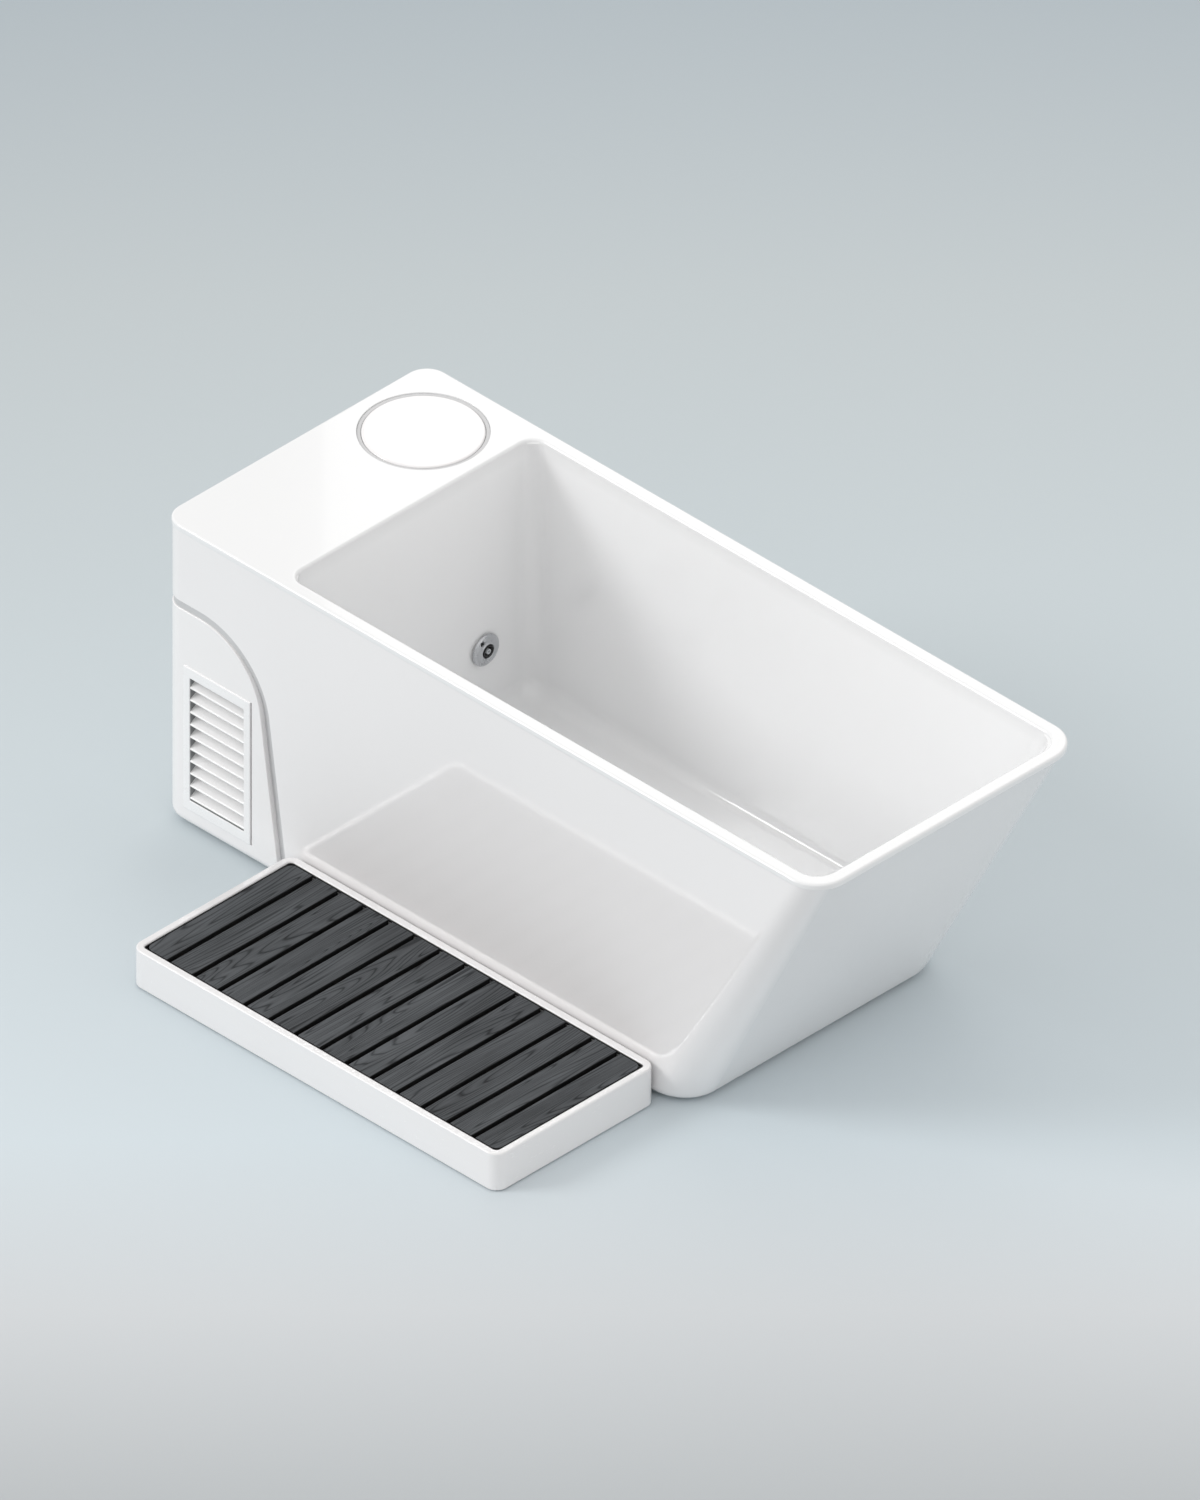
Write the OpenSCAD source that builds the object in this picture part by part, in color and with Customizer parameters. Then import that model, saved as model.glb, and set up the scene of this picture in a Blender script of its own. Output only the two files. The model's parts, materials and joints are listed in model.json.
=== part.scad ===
/* [Tub] */
// Overall length of the tub across its rim
tub_l = 1850; // [1800:10:1900]
// Overall width of the tub across its rim
tub_w = 750; // [740:5:800]
// Height of the rim above the floor
tub_h = 730; // [720:5:760]
// Lean of the raked end, from the upright, in degrees
end_rake = 27.5; // [24:0.5:30]
// Plan radius of the upright corners at the deck end
corner_r = 50; // [40:1:60]
// Radius of the two raked corners at the far end
end_corner_r = 85; // [75:1:95]
// Plan radius of the rim at the far end
rim_corner_r = 76; // [68:1:80]
// Radius of the long bottom edges
hem_r = 20; // [18:1:26]
// Radius of the bottom edge at the deck end
heel_r = 30; // [25:1:35]
// Wall of the moulded outer shell
shell_t = 4; // [3:0.5:5]
// Width of the flange turned in along the bottom of the shell
hem_w = 28; // [24:1:34]
// Height of the shell above the floor
floor_gap = 8; // [6:1:10]
// Distance by which the rim stands out over the shell
lip_over = 6; // [5.5:0.5:8]
// Height of the rim's outer lip
lip_h = 14; // [12:1:18]
// Running clearance kept between neighbouring pieces
fit_gap = 0.3; // [0.2:0.05:0.4]

/* [Basin] */
// Length of the flat deck over the equipment bay
deck_l = 330; // [325:5:350]
// Width of the rim along the two long sides
rim_w = 32; // [30:1:36]
// Width of the rim at the far end
rim_end = 33; // [32:1:38]
// Height of the basin's floor above the ground
basin_z = 115; // [110:1:130]
// Wall of the moulded liner
liner_t = 5; // [4:0.5:5.5]
// Plan radius of the basin corners at the deck end
basin_r = 32; // [26:1:40]
// Radius of the basin corners at the raked end
basin_end_r = 50; // [44:1:56]
// Radius between the basin walls and its floor
basin_hem_r = 36; // [30:1:44]
// Thickness of the foam against the raked end
foam_end_t = 14; // [10:0.5:15]

/* [Service cover] */
// Height of the seam's level stretch above the floor
seam_z = 536; // [525:1:545]
// Distance from the deck end to the seam at floor level
seam_foot_x = 344; // [338:1:350]
// Lean of the seam's falling stretch, in degrees
seam_lean = 8.1; // [7:0.1:9]
// Radius of the seam's bend
seam_r = 185; // [170:1:195]
// Width of the channel along the seam
seam_w = 22; // [18:1:24]
// Depth of the channel along the seam
seam_d = 12; // [10:1:13]
// Diameter of the cover's fixing screws
cover_screw_d = 6; // [5:1:8]

/* [Vent grille] */
// Width of the grille's frame
vent_w = 188; // [180:1:192]
// Height of the grille's frame
vent_h = 346; // [336:1:352]
// Distance from the deck end to the grille's middle
vent_x = 157; // [154:1:160]
// Height of the grille's middle above the floor
vent_z = 223; // [220:1:228]
// Width of the grille's upright frame bars
vent_bar = 18; // [16:1:20]
// Width of the grille's top and bottom frame bars
vent_end_bar = 24; // [22:1:26]
// Distance by which the frame stands out from the cover
vent_proud = 5.5; // [3:0.5:5.5]
// Number of louvre blades
blade_count = 10; // [8:1:11]
// Depth of a louvre blade
blade_d = 16; // [12:0.5:17]
// Thickness of a louvre blade
blade_t = 3; // [2:0.5:4]

/* [Hatch and filter] */
// Distance from the hatch's middle to the back of the tub
hatch_back = 175; // [170:1:180]
// Diameter of the round recess in the deck
hatch_d = 270; // [264:1:272]
// Diameter of the lid
lid_d = 249; // [240:1:251]
// Depth of the recess
hatch_sink = 12; // [11:1:15]
// Width of the ledge inside the recess
ledge_w = 20; // [18:1:24]
// Outer diameter of the filter housing
housing_d = 200; // [190:2:206]
// Wall of the filter housing
housing_t = 6; // [5:0.5:8]
// Height of the filter housing's underside above the ground
housing_z = 333; // [328:1:343]
// Diameter of the pleated filter
pleat_d = 140; // [130:1:150]
// Room above the filter cartridge for its handle and a hand
cartridge_room = 133.7; // [123.7:1:153.7]
// Number of pleats around the filter
pleat_count = 30; // [24:1:36]

/* [Water fittings] */
// Height of the return jet above the basin's floor
jet_rise = 164; // [155:1:175]
// Distance from the jet to the back of the tub
jet_back = 170; // [165:1:175]
// Diameter of the jet's face ring
jet_d = 72; // [68:1:76]
// Diameter of the swivelling eyeball
eyeball_d = 32; // [30:1:34]
// Diameter of the eyeball's nozzle
nozzle_d = 13; // [11:1:15]
// Diameter of the suction grating
suction_d = 96; // [90:1:104]
// Outer diameter of the water pipes
pipe_d = 32; // [28:1:34]
// Wall of the water pipes
pipe_t = 3; // [2:0.5:4]
// Bend radius of the water pipes
pipe_bend = 30; // [28:1:32]
// Diameter of the hose plug in the drain outlet
drain_d = 26; // [24:1:28]
// Diameter of the cable passage in the inlet bushing
cable_d = 10; // [9:0.5:11]

/* [Chiller] */
// Width of the condenser coil
coil_w = 190; // [180:2:192]
// Height of the condenser coil
coil_h = 330; // [310:5:336]
// Depth of the condenser coil
coil_d = 38; // [34:1:40]
// Number of cooling fins
fin_count = 20; // [16:1:24]
// Diameter of the fan's tip circle
fan_d = 164; // [156:1:168]
// Number of fan blades
fan_blades = 5; // [4:1:6]
// Diameter of the compressor
compressor_d = 116; // [108:1:120]
// Height of the compressor can
compressor_h = 214; // [200:2:224]
// Diameter of the heat exchanger
exchanger_d = 100; // [94:1:104]
// Height of the heat exchanger
exchanger_h = 310; // [300:5:320]
// Outer diameter of the refrigerant lines
line_d = 8; // [7:0.5:10]

/* [Pump] */
// Outer diameter of the pump volute
volute_d = 116; // [110:1:120]
// Width of the pump volute
volute_w = 40; // [38:1:44]
// Diameter of the impeller
impeller_d = 84; // [78:1:88]
// Diameter of the pump motor
motor_d = 92; // [86:1:98]
// Length of the pump motor
motor_l = 150; // [140:2:156]

/* [Step] */
// Length of the step
step_l = 1031; // [980:10:1060]
// Depth of the step, front to back
step_d = 452; // [430:2:470]
// Height of the step
step_h = 92; // [88:1:100]
// Distance from the deck end of the tub to the step
step_x = 371; // [360:1:380]
// Gap between the step and the tub
step_gap = 4; // [3:0.5:8]
// Width of the step's frame bar
step_bar = 17; // [15:1:20]
// Plan radius of the step's corners
step_r = 27; // [24:1:30]
// Number of planks
plank_count = 14; // [12:1:16]
// Gap between planks
plank_gap = 7; // [5:0.5:9]
// Thickness of a plank
plank_t = 22; // [20:1:25]
// Drop from the frame's top to the planks
plank_sink = 4; // [3:0.5:6]

/* [Hidden] */
$fn = 48;

// Overrun of every cut past the face that it opens
over = 2;
// Length that reaches past the tub on every side
reach = 2 * tub_l;
// Thickness of the shell's jamb and of the cover's return
web_t = 3;
// Thickness of the rim and deck, and of the lip that hangs from it
top_t = liner_t;
lip_slip = 0.45;
lip_t = lip_over - lip_slip;

// Heights of the main levels
shell_top = tub_h - top_t;
liner_under = basin_z - liner_t;
pan_z = floor_gap + shell_t + fit_gap;
pan_t = 6;
pan_top = pan_z + pan_t;
hem_top = floor_gap + heel_r;

// Distances of the shell's faces from the rim's outline
wall_in = lip_over + shell_t;
jamb_in = lip_over + seam_d;
jamb_back = jamb_in + web_t;
back_wall = tub_w - lip_over;

// Bulkhead between the equipment bay and the basin
bulkhead_t = 12;
bulkhead_gap = 5;
bulkhead_x1 = deck_l - liner_t - bulkhead_gap;
bulkhead_x0 = bulkhead_x1 - bulkhead_t;

// Places of the upright pieces of equipment
hatch_x = deck_l / 2;
hatch_y = tub_w - hatch_back;
jet_y = tub_w - jet_back;
jet_z = basin_z + jet_rise;
suction_y = 330;
suction_rise = 6;
coil_gap = 13;
compressor_run = 175;
exchanger_run = 163;
tail_l = 46;
outlet_share = 0.3;
suction_z = basin_z + basin_hem_r + suction_d / 2 + suction_rise;
coil_y = wall_in + coil_gap;
coil_back = coil_y + coil_d;
compressor_x = 108;
compressor_y = coil_back + compressor_run;
exchanger_x = 228;
exchanger_y = coil_back + exchanger_run;
pump_x = hatch_x - volute_d * outlet_share;
pump_z = 95;
pump_y = 385;
tail_x = bulkhead_x0 - tail_l;

// The shared frame has its origin at the middle of the floor area under tub and step
function frame_shift() = [-tub_l / 2, (step_gap + step_d - tub_w) / 2, 0];

// A flat bar from x0 to x1 and y0 to y1 whose two corners at x0 are round
module round_bar(x0, x1, y0, y1, r) {
    translate([x0 + r, y0]) square([x1 - x0 - r, y1 - y0]);
    translate([x0, y0 + r]) square([x1 - x0, y1 - y0 - 2 * r]);
    for (y = [y0 + r, y1 - r]) translate([x0 + r, y]) circle(r);
}

// A flat rectangle with all four corners round
module round_rect(x0, x1, y0, y1, r0, r1) {
    intersection() {
        round_bar(x0, x1 + reach, y0, y1, r0);
        mirror([1, 0]) round_bar(-x1, reach, y0, y1, r1);
    }
}

// A trough with an upright deck end at x0, a raked end through xt at rim height,
// sides at y0 and y1, a bottom at z0 and a level top at z1
module trough(x0, xt, y0, y1, z0, z1, r, end_r, low_r, side_r) {
    intersection() {
        translate([0, 0, z0]) linear_extrude(z1 - z0) round_bar(x0, reach, y0, y1, r);
        translate([xt, 0, tub_h]) rotate([0, end_rake, 0]) translate([0, 0, -reach])
            linear_extrude(2 * reach) mirror([1, 0]) round_bar(0, reach, y0, y1, end_r);
        translate([0, y1 + reach, 0]) rotate([90, 0, 0]) linear_extrude(2 * reach) union() {
            translate([x0 + low_r, z0]) square([reach, reach]);
            translate([x0, z0 + low_r]) square([reach, reach]);
            translate([x0 + low_r, z0 + low_r]) circle(low_r);
        }
        translate([reach, 0, 0]) rotate([0, -90, 0]) linear_extrude(2 * reach)
            round_bar(z0, reach, y0, y1, side_r);
    }
}

// The outer form of the shell, drawn in by d from its face
module shell_form(d, z1) {
    trough(lip_over + d, tub_l - lip_over - d / cos(end_rake), lip_over + d, back_wall - d,
        floor_gap + d, z1, corner_r - lip_over - d, end_corner_r - d, heel_r - d, hem_r - d);
}

// The water space, grown by d
module basin_form(d, z1) {
    trough(deck_l - d, tub_l - rim_end + d / cos(end_rake), rim_w - d, tub_w - rim_w + d,
        basin_z - d, z1, basin_r + d, basin_end_r + d, basin_hem_r + d, basin_hem_r + d);
}

// The side view of the region under the seam, moved out by d from the seam's middle line,
// as a prism across the whole tub
module seam_prism(d) {
    corner_x = seam_foot_x - seam_z * tan(seam_lean);
    arc_x = corner_x - seam_r / tan(45 + seam_lean / 2);
    arc_z = seam_z - seam_r;
    r = seam_r + d;
    foot_x = seam_foot_x + d / cos(seam_lean) + reach * tan(seam_lean);
    translate([0, reach, 0]) rotate([90, 0, 0]) linear_extrude(2 * reach) union() {
        polygon([[-reach, -reach], [foot_x, -reach],
            [arc_x + r * cos(seam_lean), arc_z + r * sin(seam_lean)], [arc_x, arc_z],
            [arc_x, seam_z + d], [-reach, seam_z + d]]);
        translate([arc_x, arc_z]) circle(r);
    }
}

// The shell and the service cover in one, before the seam parts them
module shell_blank() {
    difference() {
        shell_form(0, shell_top);
        shell_form(shell_t, tub_h);
        hem_opening();
    }
}

// The opening in the bottom, inside the turned-in flange
module hem_opening() {
    foot_x = tub_l - lip_over - (tub_h - floor_gap) * tan(end_rake);
    translate([lip_over + hem_w, lip_over + hem_w, 0])
        cube([foot_x - lip_over - 2 * hem_w, tub_w - 2 * (lip_over + hem_w), hem_top]);
}

// The level band that the base pan fills
module pan_room() {
    translate([0, 0, floor_gap + shell_t]) cube([reach, tub_w, pan_top - floor_gap - shell_t + fit_gap]);
}

// A cut through the back wall of the shell
module back_hole(x, z, d) {
    translate([x, back_wall + over, z]) rotate([90, 0, 0]) cylinder(h = shell_t + 2 * over, d = d);
}

// A rod between two points, run on past each of them
module rod(a, b, d, before, after) {
    v = b - a;
    l = norm(v);
    translate(a) rotate([0, acos(v[2] / l), atan2(v[1], v[0])]) translate([0, 0, -before])
        cylinder(h = l + before + after, d = d);
}

// A quarter bend at p, from direction u to direction v
module bend(p, u, v, r, d) {
    w = cross(u, v);
    c = p - r * u + r * v;
    multmatrix([[-v[0], u[0], w[0], c[0]], [-v[1], u[1], w[1], c[1]],
        [-v[2], u[2], w[2], c[2]], [0, 0, 0, 1]])
        rotate_extrude(angle = 90) translate([r, 0]) circle(d = d);
}

// A solid run along square corners, with round bends
module run(points, d, r, past) {
    last = len(points) - 1;
    dirs = [for (i = [0 : last - 1]) (points[i + 1] - points[i]) / norm(points[i + 1] - points[i])];
    for (i = [0 : last - 1])
        rod(points[i] + (i == 0 ? 0 : r) * dirs[i], points[i + 1] - (i == last - 1 ? 0 : r) * dirs[i],
            d, i == 0 ? past : 0, i == last - 1 ? past : 0);
    for (i = [1 : last - 1]) bend(points[i], dirs[i - 1], dirs[i], r, d);
}

// A hollow pipe along square corners
module pipe(points, d, t, r) {
    difference() {
        run(points, d, r, 0);
        run(points, d - 2 * t, r, over);
    }
}

// A ring about the X axis, from x0 to x1
module ring_x(x0, x1, y, z, d, bore) {
    translate([x0, y, z]) rotate([0, 90, 0]) difference() {
        cylinder(h = x1 - x0, d = d);
        translate([0, 0, -over]) cylinder(h = x1 - x0 + 2 * over, d = bore);
    }
}

// A disc or rod about the X axis
module rod_x(x0, x1, y, z, d) {
    translate([x0, y, z]) rotate([0, 90, 0]) cylinder(h = x1 - x0, d = d);
}

// A disc or rod about the Y axis
module rod_y(x, y0, y1, z, d) {
    translate([x, y1, z]) rotate([90, 0, 0]) cylinder(h = y1 - y0, d = d);
}

// A ring about the Y axis
module ring_y(x, y0, y1, z, d, bore) {
    difference() {
        rod_y(x, y0, y1, z, d);
        rod_y(x, y0 - over, y1 + over, z, bore);
    }
}

// Outer shell
drain_run = 100;
bushing_run = 130;
drain_x = deck_l + drain_run;
drain_z = 62;
bushing_x = drain_x + bushing_run;
hole_slip = 0.05;
module outer_shell() color("white") {
    difference() {
        shell_blank();
        seam_prism(seam_w / 2);
        back_hole(drain_x, drain_z, outlet_neck_d + 2 * hole_slip);
        back_hole(bushing_x, drain_z, bushing_neck_d + 2 * hole_slip);
    }
    jamb_w = seam_w / 2 + web_t;
    difference() {
        intersection() {
            difference() {
                shell_form(seam_d, seam_z + jamb_w + over);
                shell_form(seam_d + web_t, tub_h);
            }
            seam_prism(jamb_w);
        }
        seam_prism(-seam_w / 2 - 2 * web_t);
        hem_opening();
        pan_room();
    }
    difference() {
        intersection() {
            difference() {
                shell_form(shell_t / 2, seam_z + jamb_w + over);
                shell_form(seam_d + web_t, tub_h);
            }
            seam_prism(jamb_w);
        }
        seam_prism(seam_w / 2);
        hem_opening();
        pan_room();
    }
}

// Basin, rim and deck, moulded in one
hatch_ledge_z = tub_h - hatch_sink;
ledge_d = hatch_d - 2 * ledge_w;
recess_t = 4;
recess_d = hatch_d + 2 * recess_t;
recess_under = hatch_ledge_z - liner_t;
module basin() color("white") difference() {
    union() {
        basin_form(liner_t, tub_h - top_t / 2);
        difference() {
            translate([0, 0, tub_h - lip_h]) linear_extrude(lip_h)
                round_rect(0, tub_l, 0, tub_w, corner_r, rim_corner_r);
            translate([0, 0, tub_h - lip_h - over]) linear_extrude(lip_h - top_t + over)
                round_rect(lip_t, tub_l - lip_t, lip_t, tub_w - lip_t, corner_r - lip_t,
                    rim_corner_r - lip_t);
        }
        translate([hatch_x, hatch_y, recess_under]) cylinder(h = hatch_sink + liner_t, d = recess_d);
    }
    basin_form(0, tub_h + over);
    translate([hatch_x, hatch_y, hatch_ledge_z]) cylinder(h = hatch_sink + over, d = hatch_d);
    translate([hatch_x, hatch_y, recess_under - over]) cylinder(h = lip_h + 2 * over, d = ledge_d);
    rod_x(deck_l - liner_t - over, deck_l + over, jet_y, jet_z, jet_neck_d + 2 * hole_slip);
    rod_x(deck_l - liner_t - over, deck_l + over, suction_y, suction_z, suction_neck_d + 2 * hole_slip);
    translate([drain_x, tub_w / 2, liner_under - over])
        cylinder(h = liner_t + 2 * over, d = strainer_neck_d + 2 * hole_slip);
}

// Bulkhead between the bay and the basin
bulkhead_slip = 1.5;
bulkhead_inset = jamb_back + bulkhead_slip;
module bulkhead() color("gainsboro") difference() {
    translate([bulkhead_x0, bulkhead_inset, pan_top])
        cube([bulkhead_t, tub_w - 2 * bulkhead_inset, shell_top - fit_gap - pan_top]);
    rod_x(bulkhead_x0 - over, bulkhead_x1 + over, jet_y, jet_z, jet_neck_d + 2 * hole_slip);
    rod_x(bulkhead_x0 - over, bulkhead_x1 + over, suction_y, suction_z, suction_neck_d + 2 * hole_slip);
}

// Base pan with an upstand for the cover's screws
upstand_h = 70;
upstand_t = 6;
screw_z = 60;
screw_places = [hatch_back, tub_w - hatch_back];
module base_pan() color("dimgray") difference() {
    union() {
        shell_form(shell_t + fit_gap, pan_top);
        intersection() {
            difference() {
                shell_form(shell_t + fit_gap, pan_top + upstand_h);
                shell_form(shell_t + fit_gap + upstand_t, tub_h);
            }
            translate([0, corner_r, 0]) cube([corner_r, tub_w - 2 * corner_r, tub_h]);
        }
    }
    for (y = screw_places)
        rod_x(wall_in - over, wall_in + upstand_t + 2 * over, y, screw_z, cover_screw_d + 2 * hole_slip);
}

// Rubber pads under the base pan
pad_d = 60;
pad_in = 100;
pad_end = 120;
pad_last_x = tub_l - (tub_h * tan(end_rake)) - pad_end;
module base_pads() color("black")
    for (x = [pad_in, (pad_in + pad_last_x) / 2, pad_last_x], y = [pad_in, tub_w - pad_in])
        translate([x, y, 0]) cylinder(h = pan_z, d = pad_d);

// Foam slabs between the liner and the shell
foam_x = seam_foot_x + seam_w + web_t;
side_room = rim_w - liner_t - wall_in;
module foam_side(y) {
    top_z = shell_top - fit_gap;
    low_z = floor_gap + hem_r;
    raked = end_corner_r / cos(end_rake) + wall_in;
    translate([0, y + side_room - fit_gap, 0]) rotate([90, 0, 0])
        linear_extrude(side_room - 2 * fit_gap) polygon([[foam_x, low_z],
            [tub_l - raked - (tub_h - low_z) * tan(end_rake), low_z],
            [tub_l - raked - (tub_h - top_z) * tan(end_rake), top_z], [foam_x, top_z]]);
}
module foam_front() color("khaki") foam_side(wall_in);
module foam_back() color("khaki") difference() {
    foam_side(back_wall - shell_t - side_room);
    rod_y(drain_x, back_wall - reach, back_wall, drain_z, outlet_neck_d + over);
    rod_y(bushing_x, back_wall - reach, back_wall, drain_z, bushing_neck_d + over);
}

module foam_end() color("khaki") {
    in_x = tub_l - rim_end + (liner_t + fit_gap) / cos(end_rake);
    low = liner_under - pan_top;
    translate([in_x, 0, tub_h]) rotate([0, end_rake, 0])
        translate([0, end_corner_r + wall_in, -(tub_h - pan_top - low) / cos(end_rake)])
        cube([foam_end_t, tub_w - 2 * (end_corner_r + wall_in),
            (tub_h - pan_top - low) / cos(end_rake) - 2 * lip_h]);
}

chase_l = 40;
chase_x = bushing_x + chase_l;
foam_floor_in = wall_in + side_room + 2 * fit_gap;
module foam_floor() color("khaki") {
    top_z = liner_under - fit_gap;
    end_x = tub_l - rim_end - basin_end_r;
    translate([0, tub_w - foam_floor_in, 0]) rotate([90, 0, 0])
        linear_extrude(tub_w - 2 * foam_floor_in) polygon([[chase_x, pan_top],
            [end_x - (tub_h - pan_top) * tan(end_rake), pan_top],
            [end_x - (tub_h - top_z) * tan(end_rake), top_z], [chase_x, top_z]]);
}

// Service cover, with its return along the seam
neck_w = vent_w - 2 * vent_bar + 2 * blade_t;
neck_h = vent_h - 2 * vent_end_bar + 2 * blade_t;
module service_cover() color("white") difference() {
    union() {
        intersection() {
            shell_blank();
            seam_prism(-seam_w / 2);
        }
        intersection() {
            difference() {
                shell_form(shell_t / 2, seam_z);
                shell_form(seam_d - fit_gap, tub_h);
                seam_prism(-seam_w / 2 - web_t);
                hem_opening();
                pan_room();
            }
            seam_prism(-seam_w / 2);
        }
    }
    translate([vent_x - neck_w / 2, 0, vent_z - neck_h / 2]) cube([neck_w, tub_w, neck_h]);
    for (y = screw_places)
        rod_x(0, wall_in + over, y, screw_z, cover_screw_d + 2 * hole_slip);
}

// A louvred grille whose face looks to -Y, with its back on the plane y = 0
module grille() {
    open_w = neck_w - 2 * blade_t;
    open_h = neck_h - 2 * blade_t;
    pitch = open_h / blade_count;
    difference() {
        union() {
            translate([-vent_w / 2, -vent_proud, -vent_h / 2]) cube([vent_w, vent_proud, vent_h]);
            translate([-neck_w / 2 + hole_slip, -hole_slip, -neck_h / 2 + hole_slip])
                cube([neck_w - 2 * hole_slip, shell_t + blade_t, neck_h - 2 * hole_slip]);
        }
        translate([-open_w / 2, -vent_proud - over, -open_h / 2])
            cube([open_w, vent_proud + shell_t + blade_t + 2 * over, open_h]);
    }
    for (i = [0 : blade_count - 1])
        translate([-open_w / 2 - blade_t / 2, blade_t / 2 - vent_proud, i * pitch + blade_t - open_h / 2])
            rotate([90, 0, 90]) linear_extrude(open_w + blade_t)
            polygon([[0, 0], [blade_d, blade_d], [blade_d, blade_d + blade_t], [0, blade_t]]);
}
module front_grille() color("white") translate([vent_x, lip_over, vent_z]) grille();
module rear_grille() color("white") translate([vent_x, back_wall, vent_z]) rotate([0, 0, 180]) grille();

// Screws through the cover's end into the base pan
screw_head_d = 2 * cover_screw_d;
screw_head_h = lip_over / 2;
module cover_screws() color("silver") for (y = screw_places) {
    rod_x(lip_over - screw_head_h, lip_over, y, screw_z, screw_head_d);
    rod_x(lip_over - screw_head_h / 2, wall_in + upstand_t + over, y, screw_z, cover_screw_d);
}

// Hatch lid, with a gasket under its edge
gasket_h = 2.7;
lid_under = hatch_ledge_z + fit_gap + gasket_h;
lid_edge = 5;
skirt_slip = 2;
skirt_d = ledge_d - 2 * skirt_slip;
skirt_h = lid_under - recess_under - 2 * fit_gap;
lid_t = tub_h - lid_under;
module hatch_lid() color("white") translate([hatch_x, hatch_y, lid_under]) {
    rotate_extrude() polygon([[0, 0], [lid_d / 2, 0], [lid_d / 2, lid_t - lid_edge],
        [lid_d / 2 - lid_edge, lid_t], [0, lid_t]]);
    translate([0, 0, -skirt_h]) difference() {
        cylinder(h = skirt_h + lid_t / 2, d = skirt_d);
        translate([0, 0, -over]) cylinder(h = skirt_h + over, d = skirt_d - 2 * liner_t);
    }
}
module hatch_gasket() color("black") translate([hatch_x, hatch_y, lid_under - gasket_h]) difference() {
    cylinder(h = gasket_h, d = lid_d - lid_edge);
    translate([0, 0, -over]) cylinder(h = gasket_h + 2 * over, d = ledge_d + gasket_h);
}

// Filter housing, hung under the ledge
housing_h = recess_under - housing_z;
flange_d = recess_d - 2 * recess_t;
flange_t = 8;
spigot_d = 40;
spigot_h = 14;
feed_rise = 60;
feed_z = housing_z + feed_rise;
port_l = 20;
housing_bore = housing_d - 2 * housing_t;
module filter_housing() color("gray") translate([hatch_x, hatch_y, 0]) difference() {
    union() {
        translate([0, 0, housing_z]) cylinder(h = housing_h - flange_t / 2, d = housing_d);
        translate([0, 0, recess_under - flange_t]) cylinder(h = flange_t, d = flange_d);
        translate([0, 0, housing_z - port_l]) cylinder(h = port_l + housing_t, d = pipe_d);
        rod_y(0, -housing_d / 2 - port_l, -housing_d / 2 + housing_t, feed_z, pipe_d);
    }
    difference() {
        translate([0, 0, housing_z + housing_t]) cylinder(h = housing_h, d = housing_bore);
        translate([0, 0, housing_z]) cylinder(h = housing_t + spigot_h, d = spigot_d);
    }
    translate([0, 0, housing_z - port_l - over])
        cylinder(h = port_l + housing_t + spigot_h + 2 * over, d = pipe_d - 2 * pipe_t);
    rod_y(0, -housing_d / 2 - port_l - over, -housing_bore / 2 + over, feed_z, pipe_d - 2 * pipe_t);
}

// Filter cartridge: pleats between two caps, and a handle
cartridge_z = housing_z + housing_t + fit_gap;
cartridge_h = recess_under - cartridge_room - cartridge_z;
cap_t = 12;
cap_over = 4;
cap_d = pleat_d + 2 * cap_over;
core_slip = 1;
core_d = spigot_d + 2 * core_slip;
pleat_in_share = 0.8;
module cartridge_pleats() color("whitesmoke") translate([hatch_x, hatch_y, cartridge_z + cap_t])
    linear_extrude(cartridge_h - 2 * cap_t) difference() {
        polygon([for (i = [0 : 2 * pleat_count - 1])
            (i % 2 == 0 ? 1 : pleat_in_share) * pleat_d / 2
                * [cos(180 * i / pleat_count), sin(180 * i / pleat_count)]]);
        circle(d = core_d);
    }
module cartridge_caps() color("royalblue") translate([hatch_x, hatch_y, 0]) {
    translate([0, 0, cartridge_z]) difference() {
        cylinder(h = cap_t, d = cap_d);
        translate([0, 0, -over]) cylinder(h = cap_t + 2 * over, d = core_d);
    }
    translate([0, 0, cartridge_z + cartridge_h - cap_t]) cylinder(h = cap_t, d = cap_d);
}
handle_h = 40;
handle_w = 12;
module cartridge_handle() color("royalblue")
    translate([hatch_x, hatch_y, cartridge_z + cartridge_h]) rotate([90, 0, 0])
    translate([0, 0, -handle_w / 2]) linear_extrude(handle_w) difference() {
        circle(d = 2 * handle_h);
        circle(d = 2 * (handle_h - handle_w));
        translate([-handle_h - over, -handle_h - over]) square([2 * (handle_h + over), handle_h + over]);
    }

// Condenser coil: fins on a stack of tubes
fin_t = 1.4;
tube_d = 9;
tube_count = 6;
module condenser_coil() color("silver") {
    x0 = vent_x - coil_w / 2;
    z0 = vent_z - coil_h / 2;
    for (i = [0 : fin_count - 1])
        translate([x0 + i * (coil_w - fin_t) / (fin_count - 1), coil_y, z0]) cube([fin_t, coil_d, coil_h]);
    for (i = [0 : tube_count - 1])
        rod_x(x0 - tube_d, x0 + coil_w + tube_d, coil_mid, z0 + (i + 0.5) * coil_pitch, tube_d);
}

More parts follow.
